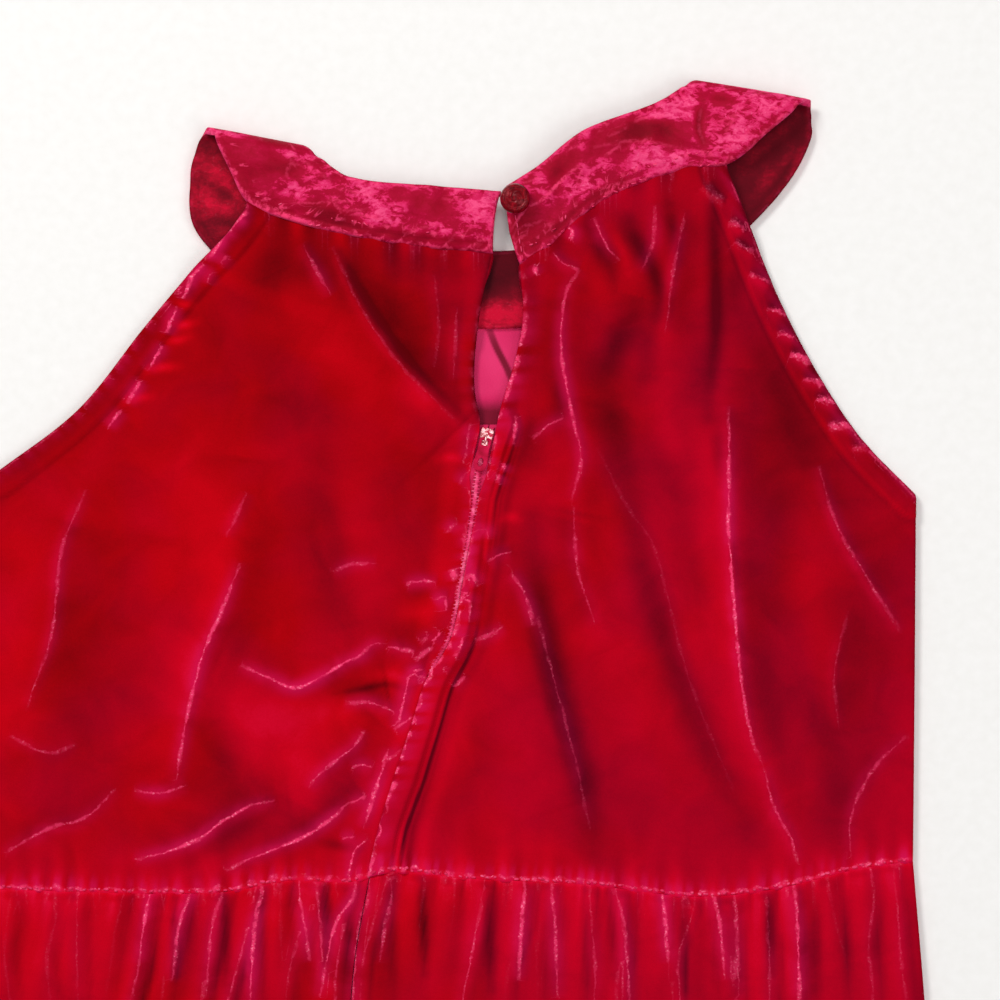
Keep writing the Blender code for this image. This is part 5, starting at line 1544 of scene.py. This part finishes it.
def make_coil_nylon():
    """The coil's shiny nylon, pinker and paler where it is worn."""
    n = Nodes("zip_coil_nylon")
    worn = n.noise(330.0, 3.0)
    ramp = ((0.32, 0.52, 0.008, 0.06), (0.5, 0.78, 0.035, 0.15), (0.68, 0.95, 0.16, 0.32))
    return n.finish(
        Base_Color=n.ramp(worn, ramp), Roughness=0.42, Normal=n.bump(n.noise(3000.0, 2.0), 0.2, 0.0001),
        Specular_IOR_Level=0.25, Specular_Tint=(1.0, 0.6, 0.7, 1.0),
    )


def make_enamel(name, bare, shine):
    """Red enamel over metal, chipped to the bright metal in places. bare is how much of it is worn off."""
    n = Nodes(name)
    chips = n.noise(950.0, 4.0, 0.6)
    worn = n.range(chips, 0.58 - bare, 0.70 - bare)
    tint = n.ramp(n.noise(380.0, 3.0), ((0.3, 0.36, 0.002, 0.026), (0.7, 0.62, 0.006, 0.062)))
    color = n.mix(worn, tint, BARE_METAL)
    return n.finish(
        Base_Color=color, Roughness=n.range(worn, 0.0, 1.0, 0.45, 0.30),
        Metallic=n.math("MULTIPLY", worn, 0.7),
        Normal=n.bump(chips, 0.3, 0.0001), Specular_IOR_Level=shine, Specular_Tint=(1.0, 0.5, 0.5, 1.0),
    )


def make_button_gloss():
    n = Nodes("button_lacquer")
    swirl = n.noise(330.0, 3.0, 2.5)
    ramp = ((0.35, 0.085, 0.0003, 0.003), (0.6, 0.20, 0.0008, 0.006), (0.75, 0.33, 0.004, 0.014))
    return n.finish(
        Base_Color=n.ramp(swirl, ramp), Roughness=0.24, Normal=n.bump(swirl, 0.2, 0.0003),
        Specular_IOR_Level=0.30, Specular_Tint=(1.0, 0.35, 0.40, 1.0),
    )


def make_floor_finish():
    n = Nodes("pale_floor")
    fine = n.noise(260.0, 4.0)
    color = n.ramp(fine, ((0.3, 0.86, 0.85, 0.835), (0.7, 0.89, 0.88, 0.87)))
    normal = n.bump(fine, 0.08, 0.0003)
    return n.finish(Base_Color=color, Roughness=0.85, Normal=normal, Specular_IOR_Level=0.2)


# Pieces


def settle(obj, body, replaced):
    """A finished piece joins a body and stands for its solids."""
    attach(obj, body)
    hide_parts(*replaced)
    return obj


def surface_of(obj):
    """What shows of an object, as a tree that points are dropped onto, and that gives its height."""
    return BVHTree.FromObject(obj, bpy.context.evaluated_depsgraph_get())


def drop(tree, x, y):
    """Height of the cloth under a point, in millimetres, or None beside it."""
    hit = tree.ray_cast(Vector((x * MM, y * MM, DROP_FROM)), Vector((0, 0, -1)))
    return None if hit[0] is None else hit[0].z / MM


def thread_mesh(name, runs, finish):
    """One mesh of short threads. A run is two end points and how thick it is for its kind."""
    sides = 6
    turns = np.arange(sides) * 2 * math.pi / sides
    points, faces = [], []
    for start, end, fat in runs:
        start, end = np.array(start, float), np.array(end, float)
        ahead = (end - start) / np.linalg.norm(end - start)
        side = np.cross(ahead, (0, 0, 1.0))
        side /= np.linalg.norm(side)
        lift = np.cross(side, ahead)
        base = len(points)
        points.append(start)
        for share, size in ((0.12, 0.75), (0.5, 1.0), (0.88, 0.75)):
            middle = start + (end - start) * share
            for turn in turns:
                points.append(middle + fat * THREAD * size * (math.cos(turn) * side + math.sin(turn) * lift))
        points.append(end)
        last = base + 1 + 3 * sides
        for k in range(sides):
            ahead_k = (k + 1) % sides
            faces.append((base, base + 1 + k, base + 1 + ahead_k))
            for r in range(2):
                a, b = base + 1 + r * sides, base + 1 + (r + 1) * sides
                faces.append((a + k, b + k, b + ahead_k, a + ahead_k))
            faces.append((last, last - sides + ahead_k, last - sides + k))
    return smooth_mesh(name, points, faces, finish)


def stitch_runs(line, tree, seed, size=STITCH, gap=STITCH_GAP, stray=0.12, worn=0.12, fat=1.0):
    """Stitches along a flat line, lying on the cloth. worn is the share that the pile hides."""
    chance = np.random.default_rng(seed)
    length = run_length(line[:, :2])
    found, reach = [], 0.4
    while reach + size < length:
        step = size * chance.uniform(0.75, 1.15)
        ends = along(line[:, :2], np.array([reach, reach + step]) / length)
        ends += chance.uniform(-stray, stray, ends.shape)
        heights = [drop(tree, *end) for end in ends]
        if None not in heights and chance.random() > worn:
            points = [(*end, height + STITCH_LIFT) for end, height in zip(ends, heights)]
            found.append([*points, fat * chance.uniform(0.8, 1.2)])
        reach += step + gap * chance.uniform(0.6, 1.5)
    return found


def inset_line(line, distance):
    """A flat line moved to its right by a distance, seen along it."""
    ahead = unit(np.gradient(line[:, :2], axis=0))
    return line[:, :2] + distance * np.stack([ahead[:, 1], -ahead[:, 0]], -1)


def run_on(outlines, edge, distance):
    """Moves a panel's top or bottom edge, so that the panel runs on under its neighbour."""
    end = -1 if edge == "top" else 0
    for key in ("left", "right"):
        outlines[key] = outlines[key].copy()
        outlines[key][end, 1] += distance
    outlines[edge] = outlines[edge] + [0.0, distance]


def make_backs(finishes):
    """The two back bodice panels."""
    made = []
    for side, word, folds, puff, armhole, opening, band, tones, creases in (
        (
            -1, "left", FOLDS_LEFT, PUFF_LEFT, ARMHOLE_LEFT, OPENING_LEFT, BAND_BACK_LEFT, TONES_LEFT,
            CREASES_LEFT + ZIP_MARKS_LEFT + HEM_MARKS_LEFT,
        ),
        (
            1, "right", FOLDS_RIGHT, PUFF_RIGHT, ARMHOLE_RIGHT, OPENING_RIGHT, BAND_BACK_RIGHT, TONES_RIGHT,
            CREASES_RIGHT + ZIP_MARKS_RIGHT + HEM_MARKS_RIGHT,
        ),
    ):
        height = bodice_height(folds, puff, opening, armhole, band_seam(band))
        detail = bodice_detail(creases, tones, armhole, opening, side)
        outlines = back_outlines(side)
        run_on(outlines, "top", SEAM + TUCK)
        run_on(outlines, "bottom", -SEAM - TUCK)
        if side > 0:
            edge = outlines["left"]
            lap = (LAP + 0.3) * (1 - smoothstep(*CRUSHED_BELOW, edge[:, 1]))
            outlines["left"] = edge - np.stack([lap, 0.0 * lap], -1)
        towards_zip = -side * ZIP_SIDE_POWER
        obj = shell(f"back_panel_{word}", outlines, BACK_CELL, height, detail, finishes, towards_zip)
        wall(obj, CLOTH, -1.0)
        settle(obj, "garment", [f"back_{word}"])
        made.append(obj)
    return made


def make_legs(finishes):
    made = []
    for side, word, folds, creases, count, seed in (
        (-1, "left", LEG_FOLDS_LEFT, CREASES_LEG_LEFT, GATHERS_LEFT, 3),
        (1, "right", LEG_FOLDS_RIGHT, CREASES_LEG_RIGHT, GATHERS_RIGHT, 8),
    ):
        outlines = leg_outlines(side, waist_height)
        detail = leg_detail(creases, count, seed)
        height = leg_height(folds, count, seed)
        name = f"leg_back_panel_{word}"
        back = shell(name, outlines, LEG_CELL, height, detail, finishes, up=LEG_TOP_POWER)
        wall(back, CLOTH, -1.0)
        made.append(settle(back, "garment", [f"leg_back_{word}"]))
    return made


def make_fronts(finishes):
    """The front panels lie face down, so their wrong side is up."""
    level = lambda x, y, u, v: np.zeros(x.shape)
    top_closed = front_bodice_outlines()
    run_on(top_closed, "top", SEAM + TUCK)
    for name, replaced, outlines, cell in (
        ("front_bodice_panel", "front_bodice", top_closed, FRONT_CELL),
        ("leg_front_panel_left", "leg_front_left", leg_outlines(-1, front_waist, 1.0), HIDDEN_CELL),
        ("leg_front_panel_right", "leg_front_right", leg_outlines(1, front_waist, 1.0), HIDDEN_CELL),
    ):
        up = 1.0 if replaced == "front_bodice" else FRONT_TOP_POWER
        obj = shell(name, outlines, cell, level, flat_detail, finishes[::-1], up=up)
        wall(obj, CLOTH, 1.0)
        settle(obj, "garment", [replaced])


def band_stations(step):
    """The neckband's seam edge and neck edge at even steps along its middle."""
    bottom, top = band_edges(14)
    middle = (bottom + top) / 2
    reach = np.concatenate([[0], np.cumsum(np.linalg.norm(np.diff(middle, axis=0), axis=1))])
    wanted = np.linspace(0, reach[-1], int(reach[-1] / step) + 1)
    sample = lambda line: np.stack([np.interp(wanted, reach, line[:, k]) for k in range(3)], -1)
    return sample(bottom), sample(top)


def band_relief(s, t):
    """Soft wrinkles of several sizes over the band, at s along it and t across it."""
    chance = np.random.default_rng(21)
    relief = np.zeros(s.shape)
    for size, amount in ((26.0, 0.35), (12.0, 0.30), (6.0, 0.16)):
        for k in range(7):
            angle = chance.uniform(-0.9, 0.9) if chance.random() < 0.7 else chance.uniform(0.9, 2.2)
            wave = 2 * math.pi / (size * chance.uniform(0.7, 1.5))
            bend = chance.uniform(2, 5) * np.sin(t / chance.uniform(5, 11) + chance.uniform(0, 6))
            phase = wave * ((s + bend) * math.cos(angle) + t * math.sin(angle)) + chance.uniform(0, 7)
            relief += amount / 2.6 * np.sin(phase)
    return relief


def band_wrinkles(lines, s, t, length, wide, raised):
    """Many short crushed wrinkles, at random places along the band. Gives how far they rise."""
    chance = np.random.default_rng(77)
    rise = np.zeros(s.shape)
    for k in range(90):
        ds, dt = s - chance.uniform(0, 1) * length, t - chance.uniform(0.05, 0.95) * wide
        angle, size = chance.uniform(-0.7, 0.9), chance.uniform(4.0, 16.0)
        run = ds * math.cos(angle) + dt * math.sin(angle)
        off = dt * math.cos(angle) - ds * math.sin(angle) + 0.5 * np.sin(run / 2.5)
        strength = chance.uniform(0.2, 0.6) * np.clip(1 - (2 * run / size) ** 2, 0, 1) ** 0.5
        lines.add(off, strength * raised)
        rise += 0.3 * strength * bell(off, 0.9)
    return rise


def make_neckband(finish, inner):
    """The crushed velvet strip round the neck, folded at both shoulders."""
    bottom, top = band_stations(BAND_CELL / FINE)
    length = run_length((bottom + top) / 2)
    wide = np.linalg.norm(top - bottom, axis=1)[None]
    u, v = np.meshgrid(np.linspace(0, 1, len(bottom)), np.linspace(0, 1, int(BAND_ROWS * FINE) + 1))
    points = bottom[None] + (top - bottom)[None] * v[..., None]
    points[..., 0] -= end_bow(points, v)
    raised = smoothstep(*BAND_RAISED, points[..., 2])
    points[..., 2] += BAND_CROWN * raised * 4 * v * (1 - v)
    s, t = u * length, v * wide
    x, y = points[..., 0], points[..., 1]
    lines, rise, shade = crease_fields(BAND_CREASES, x, y)
    lines.glow *= raised
    relief = band_relief(s, t) + band_wrinkles(lines, s, t, length, wide, raised) + rise
    # painted light and shade: the higher wrinkles are lighter
    tone = 0.7 * relief + (shade + tone_field(BAND_TONES, x, y)) * raised
    tone += tone_field(EAR_TONES, x, y) * (1 - raised)
    hem, ends = np.minimum(t, wide - t), np.minimum(s, length - s)
    # the rows of stitches sink in, with painted shade in them, the edges are crushed, and painted light runs
    # along the seam edge
    rows = bell(t - STITCH_ROW, 0.6) + 0.6 * bell(ends - STITCH_ROW, 0.6) * raised
    relief -= 0.35 * rows + 0.45 * np.exp(-np.minimum(hem, ends) / 0.6) + 0.4 * np.exp(-t / 1.1) * raised
    tone += 1.2 * np.exp(-t / 0.8) * raised - 0.5 * rows
    lines.add(hem - 0.6, 0.75 * dashes(s, 4.0, 33, 0.7) * (0.15 + 0.85 * raised))
    for row, seed in ((1.3, 35), (STITCH_ROW + 1.7, 37)):
        crushed = 0.8 * np.clip(1.3 * waves(s, 2.6, seed) + 0.25 * waves(s, 22.0, seed + 1), 0, 1)
        lines.add(0.75 * (t - row - 0.35 * waves(s, 5.0, seed + 2)), crushed * raised)
    lines.add(ends - 0.6, 0.75 * dashes(t, 4.0, 34, 0.7) * raised)
    points[..., 2] += relief * raised + 0.35 * np.maximum(relief, 0) * (1 - raised)
    points[..., 2] = np.maximum(points[..., 2], 0)
    # painted light and shade by slope on the upper layer, and painted shade on the lower layer under it
    tone = tone + 1.4 * lean(points, (-0.4, 0.6)) * raised - 0.6 * (1 - raised)
    obj = grid_mesh("neckband_velvet", points, lines.fields(tone), [finish, inner])
    wall(obj, BAND, -1.0)
    return settle(obj, "garment", ["neckband"])


def join_meshes(name, parts, finish):
    """One mesh of several parts, each a list of points in millimetres and a list of faces."""
    points, faces = [], []
    for part_points, part_faces in parts:
        base = len(points)
        points.extend(part_points)
        faces.extend(tuple(base + k for k in face) for face in part_faces)
    return smooth_mesh(name, points, faces, finish)


def tube(route, radius, sides):
    """Points and faces of a round tube along a route."""
    route = np.asarray(route, float)
    count = len(route)
    ahead = unit(np.gradient(route, axis=0))
    side = np.cross(ahead[0], (0.0, 0.0, 1.0))
    if np.linalg.norm(side) < 0.1:
        side = np.array([1.0, 0.0, 0.0])
    points = []
    for k in range(count):
        side = side - ahead[k] * (side @ ahead[k])
        side /= np.linalg.norm(side)
        lift = np.cross(side, ahead[k])
        for j in range(sides):
            turn = 2 * math.pi * j / sides
            points.append(route[k] + radius * (math.cos(turn) * side + math.sin(turn) * lift))
    faces = []
    for k in range(count - 1):
        faces += ring_faces(k * sides, (k + 1) * sides, sides)
    ends = [tuple(range(sides - 1, -1, -1)), tuple(range((count - 1) * sides, count * sides))]
    return points, faces + ends


def coil_lift(y):
    return COIL_LIFT * (1 - smoothstep(*COIL_FROM, y)) * smoothstep(*COIL_TO, y)


def make_zip(tape, coil):
    """The zip: two woven tapes with a coil along each, open above the slider and closed below it."""
    line = zip_curve()
    line = line[line[:, 1] > ZIP_END]
    half = ZIP_TAPE_WIDTH / 2
    foot = CLOTH + AIR
    middle = along(line, np.linspace(0, 1, int(150 * FINE) + 2))
    tape_lift = TAPE_LIFT * (1 - smoothstep(*TAPE_FROM, middle[:, 1])) * smoothstep(*COIL_TO, middle[:, 1])
    lifted = np.maximum(coil_lift(middle[:, 1]), tape_lift)
    height = foot + 0.02 + lifted + 0.06 * np.sin(np.arange(len(middle)) * 2.1)
    tapes = []
    for side in (-1, 1):
        shift = side * np.linspace(0.15, half, 9)[::side]
        strips = [np.column_stack([middle[:, 0] + out, middle[:, 1], height]) for out in shift]
        tapes.append((np.stack(strips, 1)[::-1].reshape(-1, 3), grid_faces(len(middle), 9)))
    tapes = join_meshes("zip_tape_pair", tapes, tape)
    wall(tapes, ZIP_TAPE_THICK - 0.1, 1.0)
    settle(tapes, "garment", ["zip_tape"])
    closed_from = zip_frame()[0].y - SLIDER_LENGTH + SLIDER_AHEAD
    chance = np.random.default_rng(17)
    core = along(line, np.linspace(0, 1, 400))
    core = core[(core[:, 1] < closed_from) & (core[:, 1] > COIL_TO[0])]
    teeth = [tube(np.column_stack([core, foot + ZIP_TAPE_THICK + 0.2 + coil_lift(core[:, 1])]), COIL_CORE, 8)]
    for k, (x, y) in enumerate(spread(line, COIL_PITCH)):
        if y > closed_from:
            continue
        side = 1 if k % 2 else -1
        base = foot + ZIP_TAPE_THICK - 0.1 + coil_lift(y)
        route = [
            (x + side * 1.3, y, base + 0.15), (x + side * 0.5, y, base + 0.75),
            (x - side * 0.35, y, base + 0.8), (x - side * 0.5, y - 0.1, base + 0.45),
        ]
        teeth.append(tube(np.array(route) + chance.uniform(-COIL_STRAY, COIL_STRAY, 3), COIL_WIRE, 6))
    for side in (-1, 1):
        for k in range(TEETH_OPEN):
            y = closed_from + 1.0 + OPEN_PITCH * k
            x = float(np.interp(y, line[::-1, 1], line[::-1, 0])) + side * (0.5 + 0.09 * k)
            base = foot + ZIP_TAPE_THICK - 0.1 + coil_lift(y)
            if y > line[0, 1] - 1:
                continue
            route = [(x + side * 0.9, y, base + 0.1), (x, y, base + 0.7), (x - side * 0.3, y, base + 0.4)]
            teeth.append(tube(route, OPEN_WIRE, 6))
    settle(join_meshes("zip_coil", teeth, coil), "garment", ["zip_tape"])


def place_on_zip(obj, height):
    """Moves a piece made round the slider's eye, with +Y up the zip, to its place."""
    eye, turn = zip_frame()
    obj.data.transform(Matrix.Translation((eye + Vector((0, 0, height))) * MM) @ turn)


def inward_of(outline):
    """At each point of a closed outline, which way is inward if it runs counterclockwise."""
    ahead = unit(np.roll(outline, -1, axis=0) - np.roll(outline, 1, axis=0))
    return np.stack([-ahead[:, 1], ahead[:, 0]], -1)


def outline_plate(outline, low, high, bevel):
    """A plate with rounded edges between two heights, from a flat outline that runs counterclockwise."""
    inward = inward_of(outline)
    points, count = [], len(outline)
    rings = [(bevel, low), (0.3 * bevel, low + 0.3 * bevel), (0.0, low + bevel), (0.0, high - bevel),
             (0.3 * bevel, high - 0.3 * bevel), (bevel, high)]
    for inset, z in rings:
        points.extend((x, y, z) for x, y in outline + inward * inset)
    faces = [tuple(range(count - 1, -1, -1)), tuple(range((len(rings) - 1) * count, len(rings) * count))]
    for r in range(len(rings) - 1):
        faces += ring_faces(r * count, (r + 1) * count, count)
    return points, faces


def smooth_outline(points):
    """A closed smooth outline through a few points."""
    line = flatten([points[-1], *points, points[0], points[1]], 6)
    return line[6 : 6 + 6 * len(points)]


def make_slider(metal):
    """The slider: two shield plates joined by a wedge, side flanges and a bridge over the pull tab's bar."""
    foot, top, axis = slider_levels()
    nose, tail, half = SLIDER_AHEAD, SLIDER_AHEAD - SLIDER_LENGTH, SLIDER_WIDTH / 2
    edge = [
        (half * 0.72, nose - 0.1), (half, nose - 1.1), (half * 0.94, nose - 2.6), (half * 0.74, tail + 1.4),
        (half * 0.68, tail + 0.2),
    ]
    shield = [(0.0, nose - 0.25), *edge, (0.0, tail), *((-x, y) for x, y in edge[::-1])]
    shield = smooth_outline(shield)[::-1]
    parts = [
        outline_plate(shield, top - SLIDER_PLATE, top, 0.16),
        outline_plate(shield, foot, foot + SLIDER_PLATE * 0.7, 0.12),
    ]
    for side in (-1, 1):
        flange = ((0.9, nose - 0.8), (0.86, nose - 2.4), (0.66, tail + 1.3), (0.60, tail + 0.4))
        flange = [(side * half * share, y, (foot + top) / 2) for share, y in flange]
        parts.append(tube(flatten(flange, 4), FLANGE_WIRE, 8))
        ridge = [(side * 0.62, y, top + 0.05) for y in (nose - 0.7, nose - 2.0, tail + 1.0)]
        parts.append(tube(flatten(ridge, 4), RIDGE_WIRE, 6))
    parts.append(tube([(0, nose - 0.6, foot + 0.4), (0, nose - 0.6, top - 0.2)], WEDGE_WIRE, 8))
    arch = []
    for angle in np.linspace(-0.55, math.pi + 0.55, 17):
        z = axis + (RING_RADIUS - 0.02) * math.sin(angle)
        arch.append((0.0, RING_RADIUS * 1.25 * math.cos(angle), max(z, top - 0.05)))
    parts.append(tube(arch, BRIDGE_WIRE, 8))
    obj = join_meshes("zip_slider_body", parts, metal)
    obj.data.set_sharp_from_angle(angle=math.radians(50))
    place_on_zip(obj, 0.0)
    return settle(obj, "garment", ["zip_slider"])


def make_pull(enamel):
    """The pull tab: a flat enamelled drop with a bar that the bridge holds, a window and an oval hole."""
    axis = slider_levels()[2]
    bar = PULL_THICK / 2
    curve = bpy.data.curves.new("zip_pull_tab", "CURVE")
    curve.dimensions = "2D"
    curve.fill_mode = "BOTH"
    curve.extrude = (bar - PULL_ROUNDING) * MM
    curve.bevel_depth = PULL_ROUNDING * MM
    curve.bevel_resolution = 3
    edge = [(1.75, bar), (2.0, -1.6), (1.9, -3.4), (2.15, -6.0), (2.2, -8.4), (1.75, -9.9), (0.8, -10.7)]
    tab = [(-1.75, bar), *edge, *((-x, y) for x, y in edge[:0:-1])]
    window = [(-1.15, -bar), (1.15, -bar), (1.25, -bar - 1.75), (-1.25, -bar - 1.75)]
    turns = np.linspace(0, 2 * math.pi, 25)[:-1]
    hole = [(0.95 * math.cos(a), -7.75 + 1.45 * math.sin(a)) for a in turns]
    for outline, smooth in ((tab, True), (window, False), (hole, False)):
        outline = smooth_outline(outline) if smooth else outline
        spline = curve.splines.new("POLY")
        spline.points.add(len(outline) - 1)
        inset = PULL_ROUNDING if smooth else -PULL_ROUNDING
        outline = np.asarray(outline, float)
        after = np.roll(outline, -1, axis=0)
        turned = np.sign(np.sum(after[:, 1] * outline[:, 0] - outline[:, 1] * after[:, 0]))
        outline = outline + turned * inset * inward_of(outline)
        for point, (x, y) in zip(spline.points, outline):
            point.co = (x * MM, y * MM, 0.0, 1.0)
        spline.use_cyclic_u = True
    shape = add_object("pull_outline", curve)
    bpy.context.view_layer.update()
    mesh = bpy.data.meshes.new_from_object(shape.evaluated_get(bpy.context.evaluated_depsgraph_get()))
    bpy.data.objects.remove(shape, do_unlink=True)
    mesh.name = "zip_pull_tab"
    mesh.materials.clear()
    mesh.materials.append(enamel)
    mesh.shade_smooth()
    mesh.set_sharp_from_angle(angle=math.radians(60))
    obj = add_object("zip_pull_tab", mesh)
    place_on_zip(obj, axis)
    return settle(obj, "pull_tab", ["zip_pull"])


def make_button(gloss):
    """The domed button: a rim, a shallow channel and a raised middle with a cast swirl, on a shank."""
    foot = button_foot()
    rim = foot + SHANK_HEIGHT
    turns, high = 96, rim + BUTTON_DOME
    profile = (
        (0.0, 0.0), (0.10, -0.01), (0.22, -0.04), (0.34, -0.11), (0.46, -0.24), (0.55, -0.42), (0.60, -0.56),
        (0.65, -0.60), (0.70, -0.50), (0.76, -0.46), (0.84, -0.62), (0.91, -1.02), (0.97, -1.7), (1.0, -2.5),
        (0.985, -3.2), (0.93, -3.75), (0.80, -4.05), (0.5, -4.15), (0.30, -4.16),
    )
    profile = flatten([(r * BUTTON_RADIUS, high + z) for r, z in profile], 3)
    shank = [(SHANK_RADIUS, z) for z in (rim + 0.02, rim - SHANK_HEIGHT / 2, foot)]
    profile = np.vstack([profile, *shank, (0.0, foot)])
    points, faces = [], []
    for r, z in profile:
        swirled = bell(r - SWIRL_RING[0], SWIRL_RING[1])
        beaded = bell(r - BEAD_RING[0], BEAD_RING[1])
        for k in range(turns):
            a = 2 * math.pi * k / turns
            swirl = SWIRL_RISE * math.sin(SWIRL_ARMS * a + SWIRL_TURN * r) * swirled
            swirl = swirl if z > high - 1.0 else 0.0
            bead = BEAD_RISE * math.sin(BEADS * a) * beaded if z > high - 1.4 else 0.0
            points.append((r * math.cos(a), r * math.sin(a), z + swirl + bead))
    for r in range(len(profile) - 1):
        faces += ring_faces((r + 1) * turns, r * turns, turns)
    obj = join_meshes("button_dome", [(points, faces)], gloss)
    bm = bmesh.new()
    bm.from_mesh(obj.data)
    bmesh.ops.remove_doubles(bm, verts=bm.verts, dist=0.001 * MM)
    bm.to_mesh(obj.data)
    bm.free()
    obj.data.shade_smooth()
    obj.data.transform(Matrix.Translation(Vector((*BUTTON_AT, 0.0)) * MM))
    return settle(obj, "garment", ["button"])


def make_button_loop(finish):
    """The loop's cord: two strands twisted round each other, from the band's end round the shank and back."""
    foot = button_foot()
    height = foot + SHANK_HEIGHT / 2
    reach = SHANK_RADIUS + LOOP_CLEAR + LOOP_THICK / 2
    x, y = BUTTON_AT
    end_x = BAND_BACK_LEFT[-1].top_x + AIR + 0.2
    route = [(end_x, y + LOOP_HALF, height - 1.4), (x - 3.0, y + 1.5, height - 0.4)]
    for k in range(7):
        angle = math.radians(120 - 40 * k)
        route.append((x + reach * math.cos(angle), y + reach * math.sin(angle), height))
    route += [(x - 3.0, y - 1.5, height - 0.4), (end_x, y - LOOP_HALF, height - 1.4)]
    dense = along(flatten(route), np.linspace(0, 1, 110))
    ahead = unit(np.gradient(dense, axis=0))
    side = unit(np.cross(ahead, (0, 0, 1.0)))
    lift = np.cross(side, ahead)
    parts = []
    twist = np.linspace(0, 2 * math.pi * LOOP_TWISTS, len(dense))
    for k in range(2):
        turn = (twist + math.pi * k)[:, None]
        out = LOOP_STRAND_OUT * (np.cos(turn) * side + np.sin(turn) * lift)
        parts.append(tube(dense + out, LOOP_STRAND, 8))
    obj = join_meshes("button_loop_cord", parts, finish)
    return settle(obj, "garment", ["button_loop"])


def make_stitches(finish, trees):
    """Every line of sewing that shows, dropped onto the cloth under it."""
    runs = []
    for side, name, armhole in ((-1, "left", ARMHOLE_LEFT), (1, "right", ARMHOLE_RIGHT)):
        line = flatten(armhole)[6:]
        inner = inset_line(line, -side * (ARMHOLE_HEM - 0.9))
        runs += stitch_runs(inner, trees[f"back_{name}"], 40 + side, size=1.6, stray=0.3, worn=0.35)
        ends = (SIDE_WAIST_LEFT, zip_at_waist(-1)) if side < 0 else (zip_at_waist(1), SIDE_WAIST_RIGHT)
        runs += stitch_runs(
            waist_edge(*ends, 0.7), trees[f"back_{name}"], 50 + side, size=1.4, gap=0.9, stray=0.5, fat=2.2,
        )
    # the neckband's rows and ends
    for part, seed in ((BAND_BACK_LEFT, 81), (BAND_BACK_RIGHT, 82)):
        edge = band_seam(part)[:, :2]
        for offset, thick in ((0.9, 1.3), (STITCH_ROW + 1.6, 1.1)):
            runs += stitch_runs(
                edge + [0.0, offset], trees["neckband"], seed + int(10 * offset),
                size=1.0, gap=1.5, stray=0.6, worn=0.6, fat=thick,
            )
    first, last = BAND_BACK_RIGHT[0], BAND_BACK_LEFT[-1]
    for section, sign, seed in ((first, 1, 91), (last, -1, 92)):
        end = np.array([(section.bottom_x, section.bottom_y), (section.top_x, section.top_y)])
        dense = along(end, np.linspace(0.04, 0.96, 24)) + [sign * 1.3, 0.0]
        runs += stitch_runs(dense, trees["neckband"], seed, size=2.0)
    # trouser hems
    for side, name in ((-1, "left"), (1, "right")):
        corners = HEM_LEFT_LEG if side < 0 else HEM_RIGHT_LEG
        x = np.linspace(min(corners) + 1.5, max(corners) - 1.5, 60)
        hem = np.stack([x, np.full(60, LEG_END + LEG_HEM)], -1)
        runs += stitch_runs(hem, trees[f"leg_{name}"], 100 + side, size=2.8)
    obj = thread_mesh("seam_threads", runs, finish)
    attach(obj, "garment")
    return obj


def make_light(name, place, size, power, color):
    light = bpy.data.lights.new(name, "AREA")
    light.shape = "DISK"
    light.size = size
    light.energy = power
    light.color = color
    obj = add_object(name, light)
    obj.location = place
    obj.rotation_euler = (Vector(LIGHT_AIM) - Vector(place)).to_track_quat("-Z", "Y").to_euler()


def make_stage():
    """Floor, lights, world and camera."""
    mesh = bpy.data.meshes.new("floor")
    corners = [(x * FLOOR_REACH, y * FLOOR_REACH, 0) for x, y in ((-1, -1), (1, -1), (1, 1), (-1, 1))]
    mesh.from_pydata(corners, [], [(0, 1, 2, 3)])
    mesh.materials.append(make_floor_finish())
    floor = add_object("floor", mesh)
    floor.location.z = -FLOOR_DROP
    floor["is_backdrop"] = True
    for light in LIGHTS:
        make_light(*light)
    world = bpy.data.worlds.new("studio")
    world.use_nodes = True
    world.node_tree.nodes["Background"].inputs["Color"].default_value = (1.0, 1.0, 1.0, 1.0)
    world.node_tree.nodes["Background"].inputs["Strength"].default_value = WORLD_STRENGTH
    bpy.context.scene.world = world
    bpy.context.scene.view_settings.view_transform = "Standard"
    camera = bpy.data.cameras.new("camera")
    camera.sensor_width = SENSOR
    camera.lens = SENSOR * (CAMERA_HEIGHT - CLOTH_LEVEL) / FRAME_WIDTH
    holder = add_object("camera", camera)
    holder.location = (0.0, CAMERA_Y, CAMERA_HEIGHT)
    bpy.context.scene.camera = holder


def main():
    cad_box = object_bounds()
    make_stage()
    velvet, reverse = make_velvet(), make_wrong_side()
    crushed = make_band_velvet("crushed_velvet", BAND_RAMP, 1.0, 0.2)
    # the band's inner faces take a darker copy of its velvet: painted shade
    crushed_painted_shade = make_band_velvet("crushed_velvet_shaded", SHADED_RAMP, 0.35, 0.04)
    backs = make_backs([velvet, reverse])
    legs = make_legs([velvet, reverse])
    make_fronts([velvet, reverse])
    neckband = make_neckband(crushed, crushed_painted_shade)
    names = ("back_left", "back_right", "leg_left", "leg_right", "neckband")
    trees = {name: surface_of(obj) for name, obj in zip(names, (*backs, *legs, neckband))}
    make_zip(make_tape(), make_coil_nylon())
    make_slider(make_enamel("worn_enamel", 0.14, 0.5))
    make_pull(make_enamel("red_enamel", -0.16, 0.08))
    make_button(make_button_gloss())
    make_button_loop(crushed_painted_shade)
    make_stitches(make_thread(), trees)
    return cad_box


cad_box = main()
